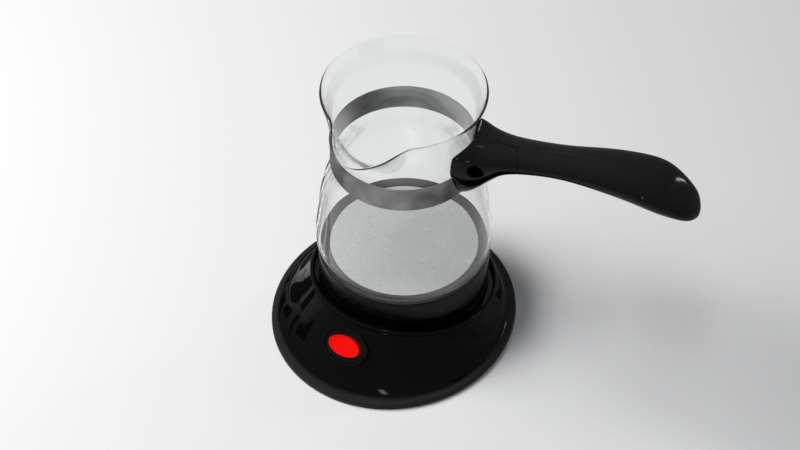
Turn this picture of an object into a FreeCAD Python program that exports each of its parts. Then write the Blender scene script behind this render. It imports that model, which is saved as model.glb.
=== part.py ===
import FreeCAD, Part
import math
import os

from FreeCAD import Placement, Rotation, Vector

# Electric glass coffee pot on its switched power base. Millimetres, +Z up, table at Z = 0.
# The pot's axis is the Z axis, the pouring lip points along -Y and the handle along +X.

# Play between a piece and its seat, tight and loose
FIT = 0.1
LOOSE_FIT = 0.2

# Heights of the main planes
SEAT_Z = 54.0
GLASS_TOP_Z = 175.0
FLANGE_Z = 1.0
FLANGE_TOP_Z = 4.2
TRAY_FLOOR_Z = 8.0
COVER_TOP_Z = 3.0

# The base stands turned a little under the pot, which can be set down at any angle
BASE_TURN = -4.0

# Base outline: an oval, longer towards the front, around a centre in front of the pot's axis
BASE_HALF_WIDTH = 73.5
BASE_HALF_LENGTH = 78.0
BASE_CENTRE_Y = -12.0
FLANGE_WIDTH = 8.5
FLANGE_ROUND = 1.3
SKIRT_WALL = 2.4
SKIRT_HOLLOW = 0.25
SKIRT_FOOT_ROUND = 4.0

# Rim of the base's well: a round bead on a plane that rises towards the front
RIM_R = 55.8
RIM_Z = 23.6
RIM_SLOPE = 0.19
BEAD_R = 1.5
WELL_R = 55.0

# Tray that lines the well
TRAY_R = 51.6
TRAY_WALL = 1.0
TRAY_FLOOR = 1.6
TRAY_LIP_DROP = 2.8
TRAY_LIP = 1.2

# Screws: head radius, head height and shank radius, with the room that their holes leave
COVER_SCREW = (2.4, 1.2, 1.2)
COLLAR_SCREW = (2.8, 1.1, 1.45)
COUPLING_SCREW = (2.0, 0.9, 1.1)
GRIP_SCREW = (2.2, 1.4, 1.15)
SCREW_ROOM = 0.15
SCREW_SLOT = 0.6
THREAD_FIT = 0.05

# Foot ring, bottom cover and its screws
FOOT_RING_IN = 42.0
FOOT_RING_OUT = 48.0
FOOT_RING_GROOVE = 0.8
COVER_INSET = 1.6
COVER_GAP = 0.2
COVER_SCREWS = [(57.0, -2.0), (-57.0, -2.0), (27.0, -66.0), (-27.0, -66.0)]
POST_R = 2.7
POST_TOP_Z = 9.5

# Cord gland in the back wall
GLAND_Z = 6.7
GLAND_BORE_R = 2.4
GLAND_NECK_R = 3.2
GLAND_HEAD_R = 3.7
GLAND_INNER_Y = 52.8
GLAND_NECK_Y = 54.0
GLAND_SEAT_Y = 57.0
GLAND_NOSE_Y = 58.8
GLAND_TIP_Y = 63.5

# Round power coupling between base and pot
BOSS_R = 15.0
BOSS_TOP_Z = 24.0
BOSS_FLANGE_R = 19.0
SLOT_FLOOR_Z = 10.0
PIN_R = 2.0
PIN_BORE_R = 2.6
BLADE_R = 9.0
SLOT_HALF = 1.0
SOCKET_R = 17.0
SOCKET_WALL = 3.0
SOCKET_CEILING_Z = 25.0
CONTACT_GAP = 0.4
CONTACT_HIGH = 2.4
BLADE_HALF = 0.4
BASE_EARTH_Z = (16.0, 22.0)
POT_EARTH_Z = 17.0
COUPLING_SCREW_OUT = 2.6

# Oval push switch on the front of the base, in its own frame: X along the skirt, Y up it, Z outwards
SWITCH_Y = -66.0
SWITCH_Z = 21.3
SWITCH_TILT = 47.0
CAP_HALF_LONG = 10.4
CAP_HALF_SHORT = 5.9
CAP_GAP = 0.35
CAP_TOP = 2.6
CAP_BOTTOM = -4.0
CAP_ROOF = 1.0
CAP_WALL = 1.6
CAP_DISH = 0.5
CAP_LIP = 1.2
SLEEVE_WALL = 1.3
SLEEVE_BOTTOM = -5.5
BEZEL_HALF_LONG = 14.3
BEZEL_HALF_SHORT = 10.2
BEZEL_TOP = 1.4
BEZEL_SEAT = -1.0
BEZEL_ROUND = 0.8
FUNNEL_WIDTH = 1.4
FUNNEL_DEPTH = 1.0
CAP_ROUND = 0.6
HOUSING_HALF_LONG = 9.0
HOUSING_HALF_SHORT = 4.8
HOUSING_TOP = -6.6
HOUSING_BOTTOM = -12.2
PLUNGER_R = 2.4
PLUNGER_END = -8.5
PLUNGER_FIT = 0.06
SPRING_R = 3.2
SPRING_WIRE_R = 0.3
SPRING_TURNS = 5
LAMP_R = 1.3
LAMP_X = 6.0
LAMP_TOP = -2.4
TAB_HALF = 2.0
TAB_LONG = 4.5
TAB_RISE = (2.0, 2.8)
TAB_HOLE_R = 0.8
TAB_HOLE_OUT = 3.2

# Wires inside the base and the pot
WIRE_R = 0.9
WIRE_Z = 4.7
CORD_Z = 5.3
TIGHT_BEND = 2.0
WIDE_BEND = 3.0

# Glass: height above the seat and outer radius, then the pouring lip
GLASS_WALL = 2.2
GLASS_OUTLINE = [
    (0.0, 51.4), (8.0, 52.4), (18.0, 51.7), (35.0, 49.6), (52.0, 46.1), (62.0, 42.8), (68.5, 41.5),
    (76.0, 41.3), (84.5, 41.3), (95.0, 42.0), (108.5, 44.1), (121.0, 47.0),
]
LIP_START = 95.0
LIP_REACH = 16.5
LIP_HALF_ANGLE = 35.0
LIP_DROP = 5.0
LIP_DIRECTION = -90.0

# Heater in the foot of the pot
PLATE_R = 44.4
PLATE_TOP_Z = 53.7
PLATE_SHEET = 1.0
PLATE_FLANGE_R = 49.0
PLATE_FLANGE_Z = 49.9
SEAL_LIP_Z = 53.2
SEAL_FOOT_R = 49.2
SEAL_SETBACK = 0.3
SPREADER_R = 38.0
SPREADER_THICK = 2.0
ELEMENT_R = 27.0
ELEMENT_TUBE_R = 3.2
ELEMENT_GAP_ANGLE = 60.0
PIN_DROP_Z = 38.0
THERMOSTAT_R = 9.0
THERMOSTAT_HIGH = 7.5
LUG_HALF_LONG = 13.0
LUG_HALF = 2.0
LUG_RISE = (1.5, 2.3)
ELEMENT_PIN_R = 1.3
FUSE_Y = 16.0
FUSE_R = 1.8
FUSE_HALF = 6.0
FUSE_WIRE_R = 0.45
FUSE_WIRE_HALF = 11.0

# Collar round the foot of the pot
COLLAR_TOP_R = 51.6
COLLAR_LOW_R = 50.2
COLLAR_LOW_Z = 8.4
COLLAR_WALL = 2.0
SHELF_IN_R = 42.0
SHELF_THICK = 2.5
COLLAR_POST_R = 3.4
COLLAR_POST_AT = 44.4
COLLAR_SCREW_TIP = 24.0
FLOOR_R = 47.9
FLOOR_Z = 11.2
FLOOR_THICK = 2.0

# Steel neck band with two clamping ears inside the handle root
BAND_LOW = 69.0
BAND_HIGH = 85.0
BAND_R = 41.6
BAND_SHEET = 0.7
EAR_SHEET = 0.9
EAR_GAP = 1.0
EAR_HALF = 4.5
CLAMP_X = 51.9
CLAMP_Z = 94.7
CLAMP_R = 2.0
CLAMP_HEAD_Y = -6.0
CLAMP_NUT_Y = 7.0
CLAMP_HEAD_R = 3.6
CLAMP_HEAD = 2.4
CLAMP_TAIL = 3.0
CLAMP_SLOT_HALF = 0.4
CLAMP_SLOT_DEEP = 0.8
CLAMP_RECESS_R = 4.2
NUT_R = 3.7
NUT_THICK = 2.4
NUT_RECESS_R = 4.0

# Handle sections: distance out, half width, top and bottom above the seat
HANDLE_SECTIONS = [
    (36.0, 18.4, 104.0, 64.0), (42.0, 18.0, 103.6, 65.0), (50.0, 16.2, 102.8, 72.2), (60.0, 13.8, 104.3, 84.3),
    (72.0, 12.5, 107.1, 94.2), (95.0, 12.2, 113.2, 103.0), (118.0, 14.5, 119.4, 107.0), (141.0, 16.6, 123.0, 108.0),
    (155.0, 15.7, 121.8, 106.0), (166.0, 12.2, 117.6, 104.8), (172.0, 8.2, 114.2, 104.6), (175.0, 3.0, 111.0, 106.0),
]
HANDLE_EDGE = 3.0
HANDLE_TOP_POWER = 3.2
HANDLE_LOW_POWER = 2.2
NECK_GAP = 0.4
SEAM_FAR_X = 56.3
SEAM_NEAR_X = 69.0
SEAM_STEP_Y = 2.6
SEAM_GAP = 0.25
TONGUE_HALF = 6.0
TONGUE_LOW = 96.2
TONGUE_HIGH = 101.0
GRIP_SCREW_X = 62.5
GRIP_SCREW_Y = -3.0
GRIP_HEAD_LOW = 89.8

TALL = 400.0


# Basic solids

def disc(radius, low, high):
    return Part.makeCylinder(radius, high - low, Vector(0, 0, low))


def ring(inner, outer, low, high):
    return disc(outer, low, high).cut(disc(inner, low - 1, high + 1))


def spin(outline):
    """Solid of revolution about Z from (radius, height) corners."""
    corners = [Vector(radius, 0, height) for radius, height in outline]
    face = Part.Face(Part.makePolygon(corners + corners[:1]))
    return face.revolve(Vector(0, 0, 0), Vector(0, 0, 1), 360)


def oval(half_x, half_y, low, high, centre_y=0.0):
    """Upright prism on an ellipse whose half axes lie along X and Y."""
    centre = Vector(0, centre_y, low)
    if half_x >= half_y:
        curve = Part.Ellipse(centre + Vector(half_x, 0, 0), centre + Vector(0, half_y, 0), centre)
    else:
        curve = Part.Ellipse(centre + Vector(0, half_y, 0), centre + Vector(-half_x, 0, 0), centre)
    return Part.Face(Part.Wire([curve.toShape()])).extrude(Vector(0, 0, high - low))


def block(low, high):
    size = [b - a for a, b in zip(low, high)]
    return Part.makeBox(size[0], size[1], size[2], Vector(*low))


def rod(start, end, radius):
    start = Vector(*start)
    end = Vector(*end)
    return Part.makeCylinder(radius, (end - start).Length, start, end - start)


def closed_curve(points):
    curve = Part.BSplineCurve()
    curve.interpolate(Points=points, PeriodicFlag=True)
    return Part.Wire([curve.toShape()])


def polar(radius, degrees, height):
    angle = math.radians(degrees)
    return Vector(radius * math.cos(angle), radius * math.sin(angle), height)


def wire_tube(points, radius, bend):
    """Round wire along straight runs joined by tangent arcs of one bend radius."""
    points = [Vector(*point) for point in points]
    edges = []
    start = points[0]
    for before, corner, after in zip(points, points[1:], points[2:]):
        back = (before - corner).normalize()
        ahead = (after - corner).normalize()
        half_turn = (math.pi - back.getAngle(ahead)) / 2
        leave = corner + back * (bend * math.tan(half_turn))
        join = corner + ahead * (bend * math.tan(half_turn))
        middle = (back + ahead).normalize()
        apex = corner + middle * (bend / math.cos(half_turn) - bend)
        edges.append(Part.makeLine(start, leave))
        edges.append(Part.Arc(leave, apex, join).toShape())
        start = join
    edges.append(Part.makeLine(start, points[-1]))
    section = Part.Wire([Part.makeCircle(radius, points[0], points[1] - points[0])])
    return Part.Wire(edges).makePipeShell([section], True, False)


def tilted_slab(drop, thickness):
    """Slab under the plane of the well's rim, its top that far below the plane."""
    slab = Part.makeBox(TALL, TALL, thickness, Vector(-TALL / 2, -TALL / 2, -drop - thickness))
    slab.rotate(Vector(0, 0, 0), Vector(1, 0, 0), -math.degrees(math.atan(RIM_SLOPE)))
    slab.translate(Vector(0, 0, RIM_Z))
    return slab


def moved(shape, x, y, z=0.0):
    copy = shape.copy()
    copy.translate(Vector(x, y, z))
    return copy


def pan_screw(size, head_low, tip):
    """Upright screw with its head below and a driving slot across the head."""
    head_r, head_high, shank_r = size
    screw = disc(head_r, head_low, head_low + head_high).fuse(disc(shank_r, head_low, tip))
    slot = block((-head_r, -SCREW_SLOT / 2, head_low - 1), (head_r, SCREW_SLOT / 2, head_low + head_high / 2))
    return screw.cut(slot)


def screw_hole(size, head_low, tip):
    """Room for such a screw, open below its head."""
    head_r, head_high, shank_r = size
    counterbore = disc(head_r + SCREW_ROOM, 0, head_low + head_high)
    return counterbore.fuse(disc(shank_r + SCREW_ROOM, 0, tip))


# Base body

def skirt_section(rise, inset, drop):
    """Closed curve round the skirt between the flange (rise 0) and the rim (rise 1), hollow in between."""
    pull = rise * (1 + SKIRT_HOLLOW * (1 - rise))
    points = []
    for step in range(36):
        angle = math.radians(step * 10)
        foot_x = (BASE_HALF_WIDTH - FLANGE_WIDTH - inset) * math.cos(angle)
        foot_y = (BASE_HALF_LENGTH - FLANGE_WIDTH - inset) * math.sin(angle) + BASE_CENTRE_Y
        top_x = (RIM_R + BEAD_R / 2 - inset) * math.cos(angle)
        top_y = (RIM_R + BEAD_R / 2 - inset) * math.sin(angle)
        top_z = RIM_Z - RIM_SLOPE * top_y - drop
        foot_z = FLANGE_TOP_Z - drop
        points.append(Vector(
            foot_x + pull * (top_x - foot_x),
            foot_y + pull * (top_y - foot_y),
            foot_z + rise * (top_z - foot_z),
        ))
    return closed_curve(points)


def skirt_solid(inset, drop):
    rises = [0.0, 0.2, 0.4, 0.6, 0.8, 1.0]
    return Part.makeLoft([skirt_section(rise, inset, drop) for rise in rises], True)


def round_flange():
    centre = Vector(0, BASE_CENTRE_Y, FLANGE_Z)
    curve = Part.Ellipse(centre + Vector(0, BASE_HALF_LENGTH, 0), centre + Vector(-BASE_HALF_WIDTH, 0, 0), centre)
    halves = [Part.ArcOfEllipse(curve, start, start + math.pi).toShape() for start in (0.0, math.pi)]
    flange = Part.Face(Part.Wire(halves)).extrude(Vector(0, 0, FLANGE_TOP_Z - FLANGE_Z))
    top_edges = [edge for edge in flange.Edges if edge.BoundBox.ZMin > FLANGE_TOP_Z - 0.01]
    return flange.makeFillet(FLANGE_ROUND, top_edges)


def foot_edges(solid):
    """Edges where the skirt meets the flange."""
    edges = []
    for edge in solid.Edges:
        box = edge.BoundBox
        level = max(abs(box.ZMin - FLANGE_TOP_Z), abs(box.ZMax - FLANGE_TOP_Z)) < 0.01
        if level and box.XMax < BASE_HALF_WIDTH - FLANGE_WIDTH + 0.5:
            edges.append(edge)
    return edges


def rim_bead():
    slope = math.atan(RIM_SLOPE)
    long_half = RIM_R / math.cos(slope)
    centre = Vector(0, 0, RIM_Z)
    along = Vector(0, math.cos(slope), -math.sin(slope))
    path = Part.Ellipse(centre + along * long_half, centre + Vector(-RIM_R, 0, 0), centre).toShape()
    start = path.valueAt(path.FirstParameter)
    section = Part.Wire([Part.makeCircle(BEAD_R, start, path.tangentAt(path.FirstParameter))])
    return Part.Wire([path]).makePipeShell([section], True, False)


def make_base_shell():
    hollow = skirt_solid(SKIRT_WALL, SKIRT_WALL * 0.7)
    cover_room = oval(
        BASE_HALF_WIDTH - FLANGE_WIDTH - COVER_INSET,
        BASE_HALF_LENGTH - FLANGE_WIDTH - COVER_INSET,
        FLANGE_Z - 1, COVER_TOP_Z, BASE_CENTRE_Y,
    )
    outside = skirt_solid(0.0, 0.0)
    solid = outside.fuse(round_flange())
    shell = solid.makeFillet(SKIRT_FOOT_ROUND, foot_edges(solid)).cut(hollow).cut(cover_room)
    for x, y in COVER_SCREWS:
        post = moved(disc(POST_R, COVER_TOP_Z, POST_TOP_Z), x, y)
        shell = shell.fuse(post.common(outside.fuse(hollow)))
        shell = shell.cut(moved(disc(COVER_SCREW[2] + THREAD_FIT, 0, POST_TOP_Z - 0.8), x, y))
    shell = shell.cut(disc(WELL_R, -1, TALL)).fuse(rim_bead())
    shell = shell.cut(on_switch(oval(BEZEL_HALF_LONG + FIT, BEZEL_HALF_SHORT + FIT, BEZEL_SEAT, 12)))
    sleeve_long = CAP_HALF_LONG + CAP_GAP + SLEEVE_WALL + LOOSE_FIT
    sleeve_short = CAP_HALF_SHORT + CAP_GAP + SLEEVE_WALL + LOOSE_FIT
    shell = shell.cut(on_switch(oval(sleeve_long, sleeve_short, -8, 4)))
    gland_hole = rod((0, GLAND_INNER_Y - 4, GLAND_Z), (0, GLAND_TIP_Y + 8, GLAND_Z), GLAND_NECK_R + FIT)
    gland_seat = rod((0, GLAND_SEAT_Y, GLAND_Z), (0, GLAND_TIP_Y + 8, GLAND_Z), GLAND_HEAD_R + FIT)
    return shell.cut(gland_hole).cut(gland_seat)


def make_recess_tray():
    outer = TRAY_R + TRAY_WALL
    cup = disc(outer, TRAY_FLOOR_Z - TRAY_FLOOR, 60).cut(disc(TRAY_R, TRAY_FLOOR_Z, 61))
    below_lip = tilted_slab(TRAY_LIP_DROP, TALL)
    lip = ring(TRAY_R, WELL_R - LOOSE_FIT, 0, 60).common(tilted_slab(TRAY_LIP_DROP - TRAY_LIP, TRAY_LIP))
    tray = cup.common(below_lip).fuse(lip)
    return tray.cut(disc(BOSS_R + LOOSE_FIT, 0, 20))


def make_bottom_cover():
    inset = FLANGE_WIDTH + COVER_INSET + COVER_GAP
    cover = oval(BASE_HALF_WIDTH - inset, BASE_HALF_LENGTH - inset, FLANGE_Z, COVER_TOP_Z, BASE_CENTRE_Y)
    cover = cover.cut(ring(FOOT_RING_IN - FIT, FOOT_RING_OUT + FIT, 0, FLANGE_Z + FOOT_RING_GROOVE))
    for x, y in COVER_SCREWS:
        cover = cover.cut(moved(screw_hole(COVER_SCREW, FLANGE_Z + FIT, POST_TOP_Z), x, y))
    return cover


def make_foot_ring():
    return ring(FOOT_RING_IN, FOOT_RING_OUT, 0, FLANGE_Z + FOOT_RING_GROOVE)


def make_cover_screws():
    screw = pan_screw(COVER_SCREW, FLANGE_Z + FIT, POST_TOP_Z - 1.0)
    return Part.makeCompound([moved(screw, x, y) for x, y in COVER_SCREWS])


def make_cord_gland():
    """Grommet along Y: inner head, neck in the wall, outer head and a tapered nose, bored for the cord."""
    outline = [
        (GLAND_BORE_R, GLAND_INNER_Y), (GLAND_HEAD_R, GLAND_INNER_Y), (GLAND_HEAD_R, GLAND_NECK_Y),
        (GLAND_NECK_R, GLAND_NECK_Y), (GLAND_NECK_R, GLAND_SEAT_Y), (GLAND_HEAD_R, GLAND_SEAT_Y),
        (GLAND_HEAD_R, GLAND_NOSE_Y), (GLAND_NECK_R, GLAND_NOSE_Y),
        (GLAND_BORE_R + 0.5, GLAND_TIP_Y), (GLAND_BORE_R, GLAND_TIP_Y),
    ]
    gland = spin(outline)
    gland.rotate(Vector(0, 0, 0), Vector(1, 0, 0), -90)
    return moved(gland, 0, 0, GLAND_Z)


def make_base_connector():
    body = disc(BOSS_FLANGE_R, TRAY_FLOOR_Z - TRAY_FLOOR - 2, TRAY_FLOOR_Z - TRAY_FLOOR)
    body = body.fuse(disc(BOSS_R, TRAY_FLOOR_Z - TRAY_FLOOR, BOSS_TOP_Z))
    slot = ring(BLADE_R - SLOT_HALF, BLADE_R + SLOT_HALF, SLOT_FLOOR_Z, BOSS_TOP_Z + 1)
    return body.cut(slot).cut(disc(PIN_BORE_R, SLOT_FLOOR_Z, BOSS_TOP_Z + 1))


def make_base_contacts():
    """Live cup, neutral ring and earth ring, as separate pieces of brass."""
    top = SLOT_FLOOR_Z + CONTACT_HIGH
    live = disc(PIN_BORE_R - FIT, SLOT_FLOOR_Z, top)
    neutral = ring(BLADE_R - SLOT_HALF + FIT, BLADE_R + SLOT_HALF - FIT, SLOT_FLOOR_Z, top)
    earth = ring(BOSS_R + 0.05, BOSS_R + 0.9, *BASE_EARTH_Z)
    return Part.makeCompound([live, neutral, earth])


# Push switch, in its own frame and then on the skirt

def switch_place():
    return Placement(Vector(0, SWITCH_Y, SWITCH_Z), Rotation(Vector(1, 0, 0), SWITCH_TILT))


def on_switch(shape):
    placed = shape.copy()
    placed.Placement = switch_place().multiply(placed.Placement)
    return placed


def make_switch_bezel():
    inner_long = CAP_HALF_LONG + CAP_GAP
    inner_short = CAP_HALF_SHORT + CAP_GAP
    flange = oval(BEZEL_HALF_LONG, BEZEL_HALF_SHORT, BEZEL_SEAT, BEZEL_TOP)
    top_edges = [edge for edge in flange.Edges if edge.BoundBox.ZMin > BEZEL_TOP - 0.01]
    flange = flange.makeFillet(BEZEL_ROUND, top_edges)
    sleeve = oval(inner_long + SLEEVE_WALL, inner_short + SLEEVE_WALL, SLEEVE_BOTTOM, BEZEL_SEAT)
    funnel = oval(inner_long + FUNNEL_WIDTH, inner_short + FUNNEL_WIDTH, BEZEL_TOP - FUNNEL_DEPTH, BEZEL_TOP + 2)
    opening = oval(inner_long, inner_short, SLEEVE_BOTTOM - 1, BEZEL_TOP + 2)
    return on_switch(flange.fuse(sleeve).cut(funnel).cut(opening))


def make_button_cap():
    cap = oval(CAP_HALF_LONG, CAP_HALF_SHORT, CAP_BOTTOM, CAP_TOP)
    top_edges = [edge for edge in cap.Edges if edge.BoundBox.ZMin > CAP_TOP - 0.01]
    cap = cap.makeFillet(CAP_ROUND, top_edges)
    dish = oval(CAP_HALF_LONG - CAP_LIP, CAP_HALF_SHORT - CAP_LIP, CAP_TOP - CAP_DISH, CAP_TOP + 1)
    inside = oval(CAP_HALF_LONG - CAP_WALL, CAP_HALF_SHORT - CAP_WALL, CAP_BOTTOM - 1, CAP_ROOF)
    return on_switch(cap.cut(dish).cut(inside))


def make_button_plunger():
    return on_switch(disc(PLUNGER_R, PLUNGER_END, CAP_ROOF))


def make_button_spring():
    """Coil spring round the plunger, from the switch housing to the roof of the cap."""
    low = HOUSING_TOP + SPRING_WIRE_R + FIT
    high = CAP_ROOF - SPRING_WIRE_R - FIT
    pitch = (high - low) / SPRING_TURNS
    helix = Part.makeLongHelix(pitch, high - low, SPRING_R)
    section = Part.Wire([Part.makeCircle(SPRING_WIRE_R, Vector(SPRING_R, 0, 0), Vector(0, 1, 0))])
    spring = Part.Wire(helix).makePipeShell([section], True, True)
    return on_switch(moved(spring, 0, 0, low))


def make_switch_housing():
    body = block(
        (-HOUSING_HALF_LONG, -HOUSING_HALF_SHORT, HOUSING_BOTTOM),
        (HOUSING_HALF_LONG, HOUSING_HALF_SHORT, HOUSING_TOP),
    )
    return on_switch(body.cut(disc(PLUNGER_R + PLUNGER_FIT, HOUSING_BOTTOM + 0.4, 0)))


def make_switch_terminals():
    tab = block(
        (HOUSING_HALF_LONG, -TAB_HALF, HOUSING_BOTTOM + TAB_RISE[0]),
        (HOUSING_HALF_LONG + TAB_LONG, TAB_HALF, HOUSING_BOTTOM + TAB_RISE[1]),
    )
    tab = tab.cut(moved(disc(TAB_HOLE_R, -20, 0), HOUSING_HALF_LONG + TAB_HOLE_OUT, 0))
    return Part.makeCompound([on_switch(tab), on_switch(tab.mirror(Vector(0, 0, 0), Vector(1, 0, 0)))])


def make_indicator_lamp():
    bulb = disc(LAMP_R, HOUSING_TOP, LAMP_TOP - LAMP_R)
    bulb = bulb.fuse(Part.makeSphere(LAMP_R, Vector(0, 0, LAMP_TOP - LAMP_R)))
    return on_switch(moved(bulb, LAMP_X, 0))


# Wires of the base, from the gland to the switch and the coupling

def terminal_end(side):
    """Free end of a switch terminal, in the base's frame."""
    spot = Vector(side * (HOUSING_HALF_LONG + 2.2), -2.2, HOUSING_BOTTOM + 2.4)
    return switch_place().multVec(spot)


def make_live_lead():
    end = terminal_end(-1)
    route = [
        (-2.0, GLAND_INNER_Y - 0.3, CORD_Z), (-2.0, 46.0, WIRE_Z), (-34.0, 30.0, WIRE_Z), (-36.0, -20.0, WIRE_Z),
        (end.x - 6, end.y + 16, WIRE_Z), (end.x, end.y + 1.5, WIRE_Z), (end.x, end.y - 1.0, end.z - 0.8),
    ]
    return wire_tube(route, WIRE_R, TIGHT_BEND)


def make_switch_lead():
    end = terminal_end(1)
    route = [
        (end.x, end.y - 1.0, end.z - 0.8), (end.x, end.y + 1.5, WIRE_Z), (end.x, end.y + 16, WIRE_Z),
        (8.0, -BOSS_FLANGE_R + 0.4, WIRE_Z),
    ]
    return wire_tube(route, WIRE_R, TIGHT_BEND)


def make_neutral_lead():
    route = [
        (0.0, GLAND_INNER_Y - 0.3, CORD_Z), (0.0, 46.0, WIRE_Z), (6.0, 36.0, WIRE_Z), (4.0, BOSS_FLANGE_R, WIRE_Z),
    ]
    return wire_tube(route, WIRE_R, WIDE_BEND)


def make_earth_lead():
    route = [
        (2.0, GLAND_INNER_Y - 0.3, CORD_Z), (3.0, 46.0, WIRE_Z), (20.0, 32.0, WIRE_Z), (13.0, 14.5, WIRE_Z),
    ]
    return wire_tube(route, WIRE_R, WIDE_BEND)


# Pot body

def glass_section(above_seat, radius):
    """Level curve of the glass, drawn out into the pouring lip near the rim."""
    top = GLASS_TOP_Z - SEAT_Z
    share = max((above_seat - LIP_START) / (top - LIP_START), 0.0)
    pull = LIP_REACH * share ** 1.7
    points = []
    for step in range(60):
        degrees = step * 6.0
        off = (degrees - LIP_DIRECTION + 180.0) % 360.0 - 180.0
        bump = 0.0
        if abs(off) < LIP_HALF_ANGLE:
            bump = math.cos(math.radians(90.0 * off / LIP_HALF_ANGLE)) ** 2
        points.append(polar(radius + pull * bump, degrees, SEAT_Z + above_seat))
    return closed_curve(points)


def glass_solid(inset, overrun):
    outline = list(GLASS_OUTLINE)
    if overrun:
        outline.insert(0, (-overrun, GLASS_OUTLINE[0][1] - overrun * 0.1))
        outline.append((GLASS_OUTLINE[-1][0] + overrun, GLASS_OUTLINE[-1][1] + overrun * 0.25))
    return Part.makeLoft([glass_section(height, radius - inset) for height, radius in outline], True)


def make_glass_body():
    glass = glass_solid(0.0, 0.0).cut(glass_solid(GLASS_WALL, 6.0))
    half_lip = GLASS_OUTLINE[-1][1] * math.sin(math.radians(LIP_HALF_ANGLE))
    sag_r = (half_lip ** 2 + LIP_DROP ** 2) / (2 * LIP_DROP)
    dip = rod((0, -20, GLASS_TOP_Z - LIP_DROP + sag_r), (0, -80, GLASS_TOP_Z - LIP_DROP + sag_r), sag_r)
    return glass.cut(dip)


def make_heater_plate():
    inner = PLATE_R - PLATE_SHEET
    return spin([
        (0, PLATE_TOP_Z - PLATE_SHEET), (inner, PLATE_TOP_Z - PLATE_SHEET), (inner, PLATE_FLANGE_Z),
        (PLATE_FLANGE_R, PLATE_FLANGE_Z), (PLATE_FLANGE_R, PLATE_FLANGE_Z + PLATE_SHEET),
        (PLATE_R, PLATE_FLANGE_Z + PLATE_SHEET), (PLATE_R, PLATE_TOP_Z), (0, PLATE_TOP_Z),
    ])


def make_plate_seal():
    low = PLATE_FLANGE_Z + PLATE_SHEET
    return spin([
        (PLATE_R + FIT, low), (SEAL_FOOT_R, low), (SEAL_FOOT_R, SEAL_LIP_Z), (COLLAR_TOP_R - SEAL_SETBACK, SEAL_LIP_Z),
        (COLLAR_TOP_R - SEAL_SETBACK, SEAT_Z), (PLATE_R + FIT, SEAT_Z),
    ])


def make_heat_spreader():
    top = PLATE_TOP_Z - PLATE_SHEET
    return disc(SPREADER_R, top - SPREADER_THICK, top)


def element_height():
    return PLATE_TOP_Z - PLATE_SHEET - SPREADER_THICK - ELEMENT_TUBE_R - FIT


def element_ends():
    half = ELEMENT_GAP_ANGLE / 2
    return [polar(ELEMENT_R, LIP_DIRECTION + side * half, 0) for side in (-1, 1)]


def make_heating_element():
    arc = Part.makeTorus(
        ELEMENT_R, ELEMENT_TUBE_R, Vector(0, 0, element_height()), Vector(0, 0, 1), 0, 360, 360 - ELEMENT_GAP_ANGLE,
    )
    arc.rotate(Vector(0, 0, 0), Vector(0, 0, 1), LIP_DIRECTION + ELEMENT_GAP_ANGLE / 2)
    return arc


def make_element_pins():
    top = element_height() - ELEMENT_TUBE_R
    return Part.makeCompound([moved(disc(ELEMENT_PIN_R, PIN_DROP_Z, top), end.x, end.y) for end in element_ends()])


def make_element_leads():
    leads = []
    for end in element_ends():
        inner_x = math.copysign(6.0, end.x)
        route = [
            (end.x, end.y, PIN_DROP_Z), (end.x, end.y, PIN_DROP_Z - 4.0),
            (inner_x, -9.0, PIN_DROP_Z - 5.5), (inner_x, -9.0, SOCKET_CEILING_Z + 2.0),
        ]
        leads.append(wire_tube(route, WIRE_R, TIGHT_BEND))
    return Part.makeCompound(leads)


def make_thermostat():
    top = PLATE_TOP_Z - PLATE_SHEET - SPREADER_THICK
    can = disc(THERMOSTAT_R, top - THERMOSTAT_HIGH, top)
    low = top - THERMOSTAT_HIGH
    lugs = block((-LUG_HALF_LONG, -LUG_HALF, low + LUG_RISE[0]), (LUG_HALF_LONG, LUG_HALF, low + LUG_RISE[1]))
    return can.fuse(lugs)


def make_thermal_fuse():
    height = element_height()
    fuse = rod((-FUSE_HALF, FUSE_Y, height), (FUSE_HALF, FUSE_Y, height), FUSE_R)
    return fuse.fuse(rod((-FUSE_WIRE_HALF, FUSE_Y, height), (FUSE_WIRE_HALF, FUSE_Y, height), FUSE_WIRE_R))


def collar_radius(height):
    share = (height - COLLAR_LOW_Z) / (SEAL_LIP_Z - COLLAR_LOW_Z)
    return COLLAR_LOW_R + share * (COLLAR_TOP_R - COLLAR_LOW_R)


def collar_post_spots():
    return [polar(COLLAR_POST_AT, 30 + 120 * turn, 0) for turn in range(3)]


def make_collar():
    shelf_top = PLATE_FLANGE_Z
    shelf_low = shelf_top - SHELF_THICK
    collar = spin([
        (COLLAR_LOW_R - COLLAR_WALL, COLLAR_LOW_Z), (COLLAR_LOW_R, COLLAR_LOW_Z), (COLLAR_TOP_R, SEAL_LIP_Z),
        (COLLAR_TOP_R - COLLAR_WALL, SEAL_LIP_Z), (collar_radius(shelf_top) - COLLAR_WALL, shelf_top),
        (SHELF_IN_R, shelf_top), (SHELF_IN_R, shelf_low), (collar_radius(shelf_low) - COLLAR_WALL, shelf_low),
    ])
    for spot in collar_post_spots():
        post = disc(COLLAR_POST_R, FLOOR_Z + FLOOR_THICK, shelf_top - 0.5)
        pilot = disc(COLLAR_SCREW[2] + THREAD_FIT, 0, COLLAR_SCREW_TIP + 2)
        collar = collar.fuse(moved(post, spot.x, spot.y)).cut(moved(pilot, spot.x, spot.y))
    return collar


def coupling_screw_spots():
    return [polar(SOCKET_R + SOCKET_WALL + COUPLING_SCREW_OUT, 90 + 120 * turn, 0) for turn in range(3)]


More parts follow.
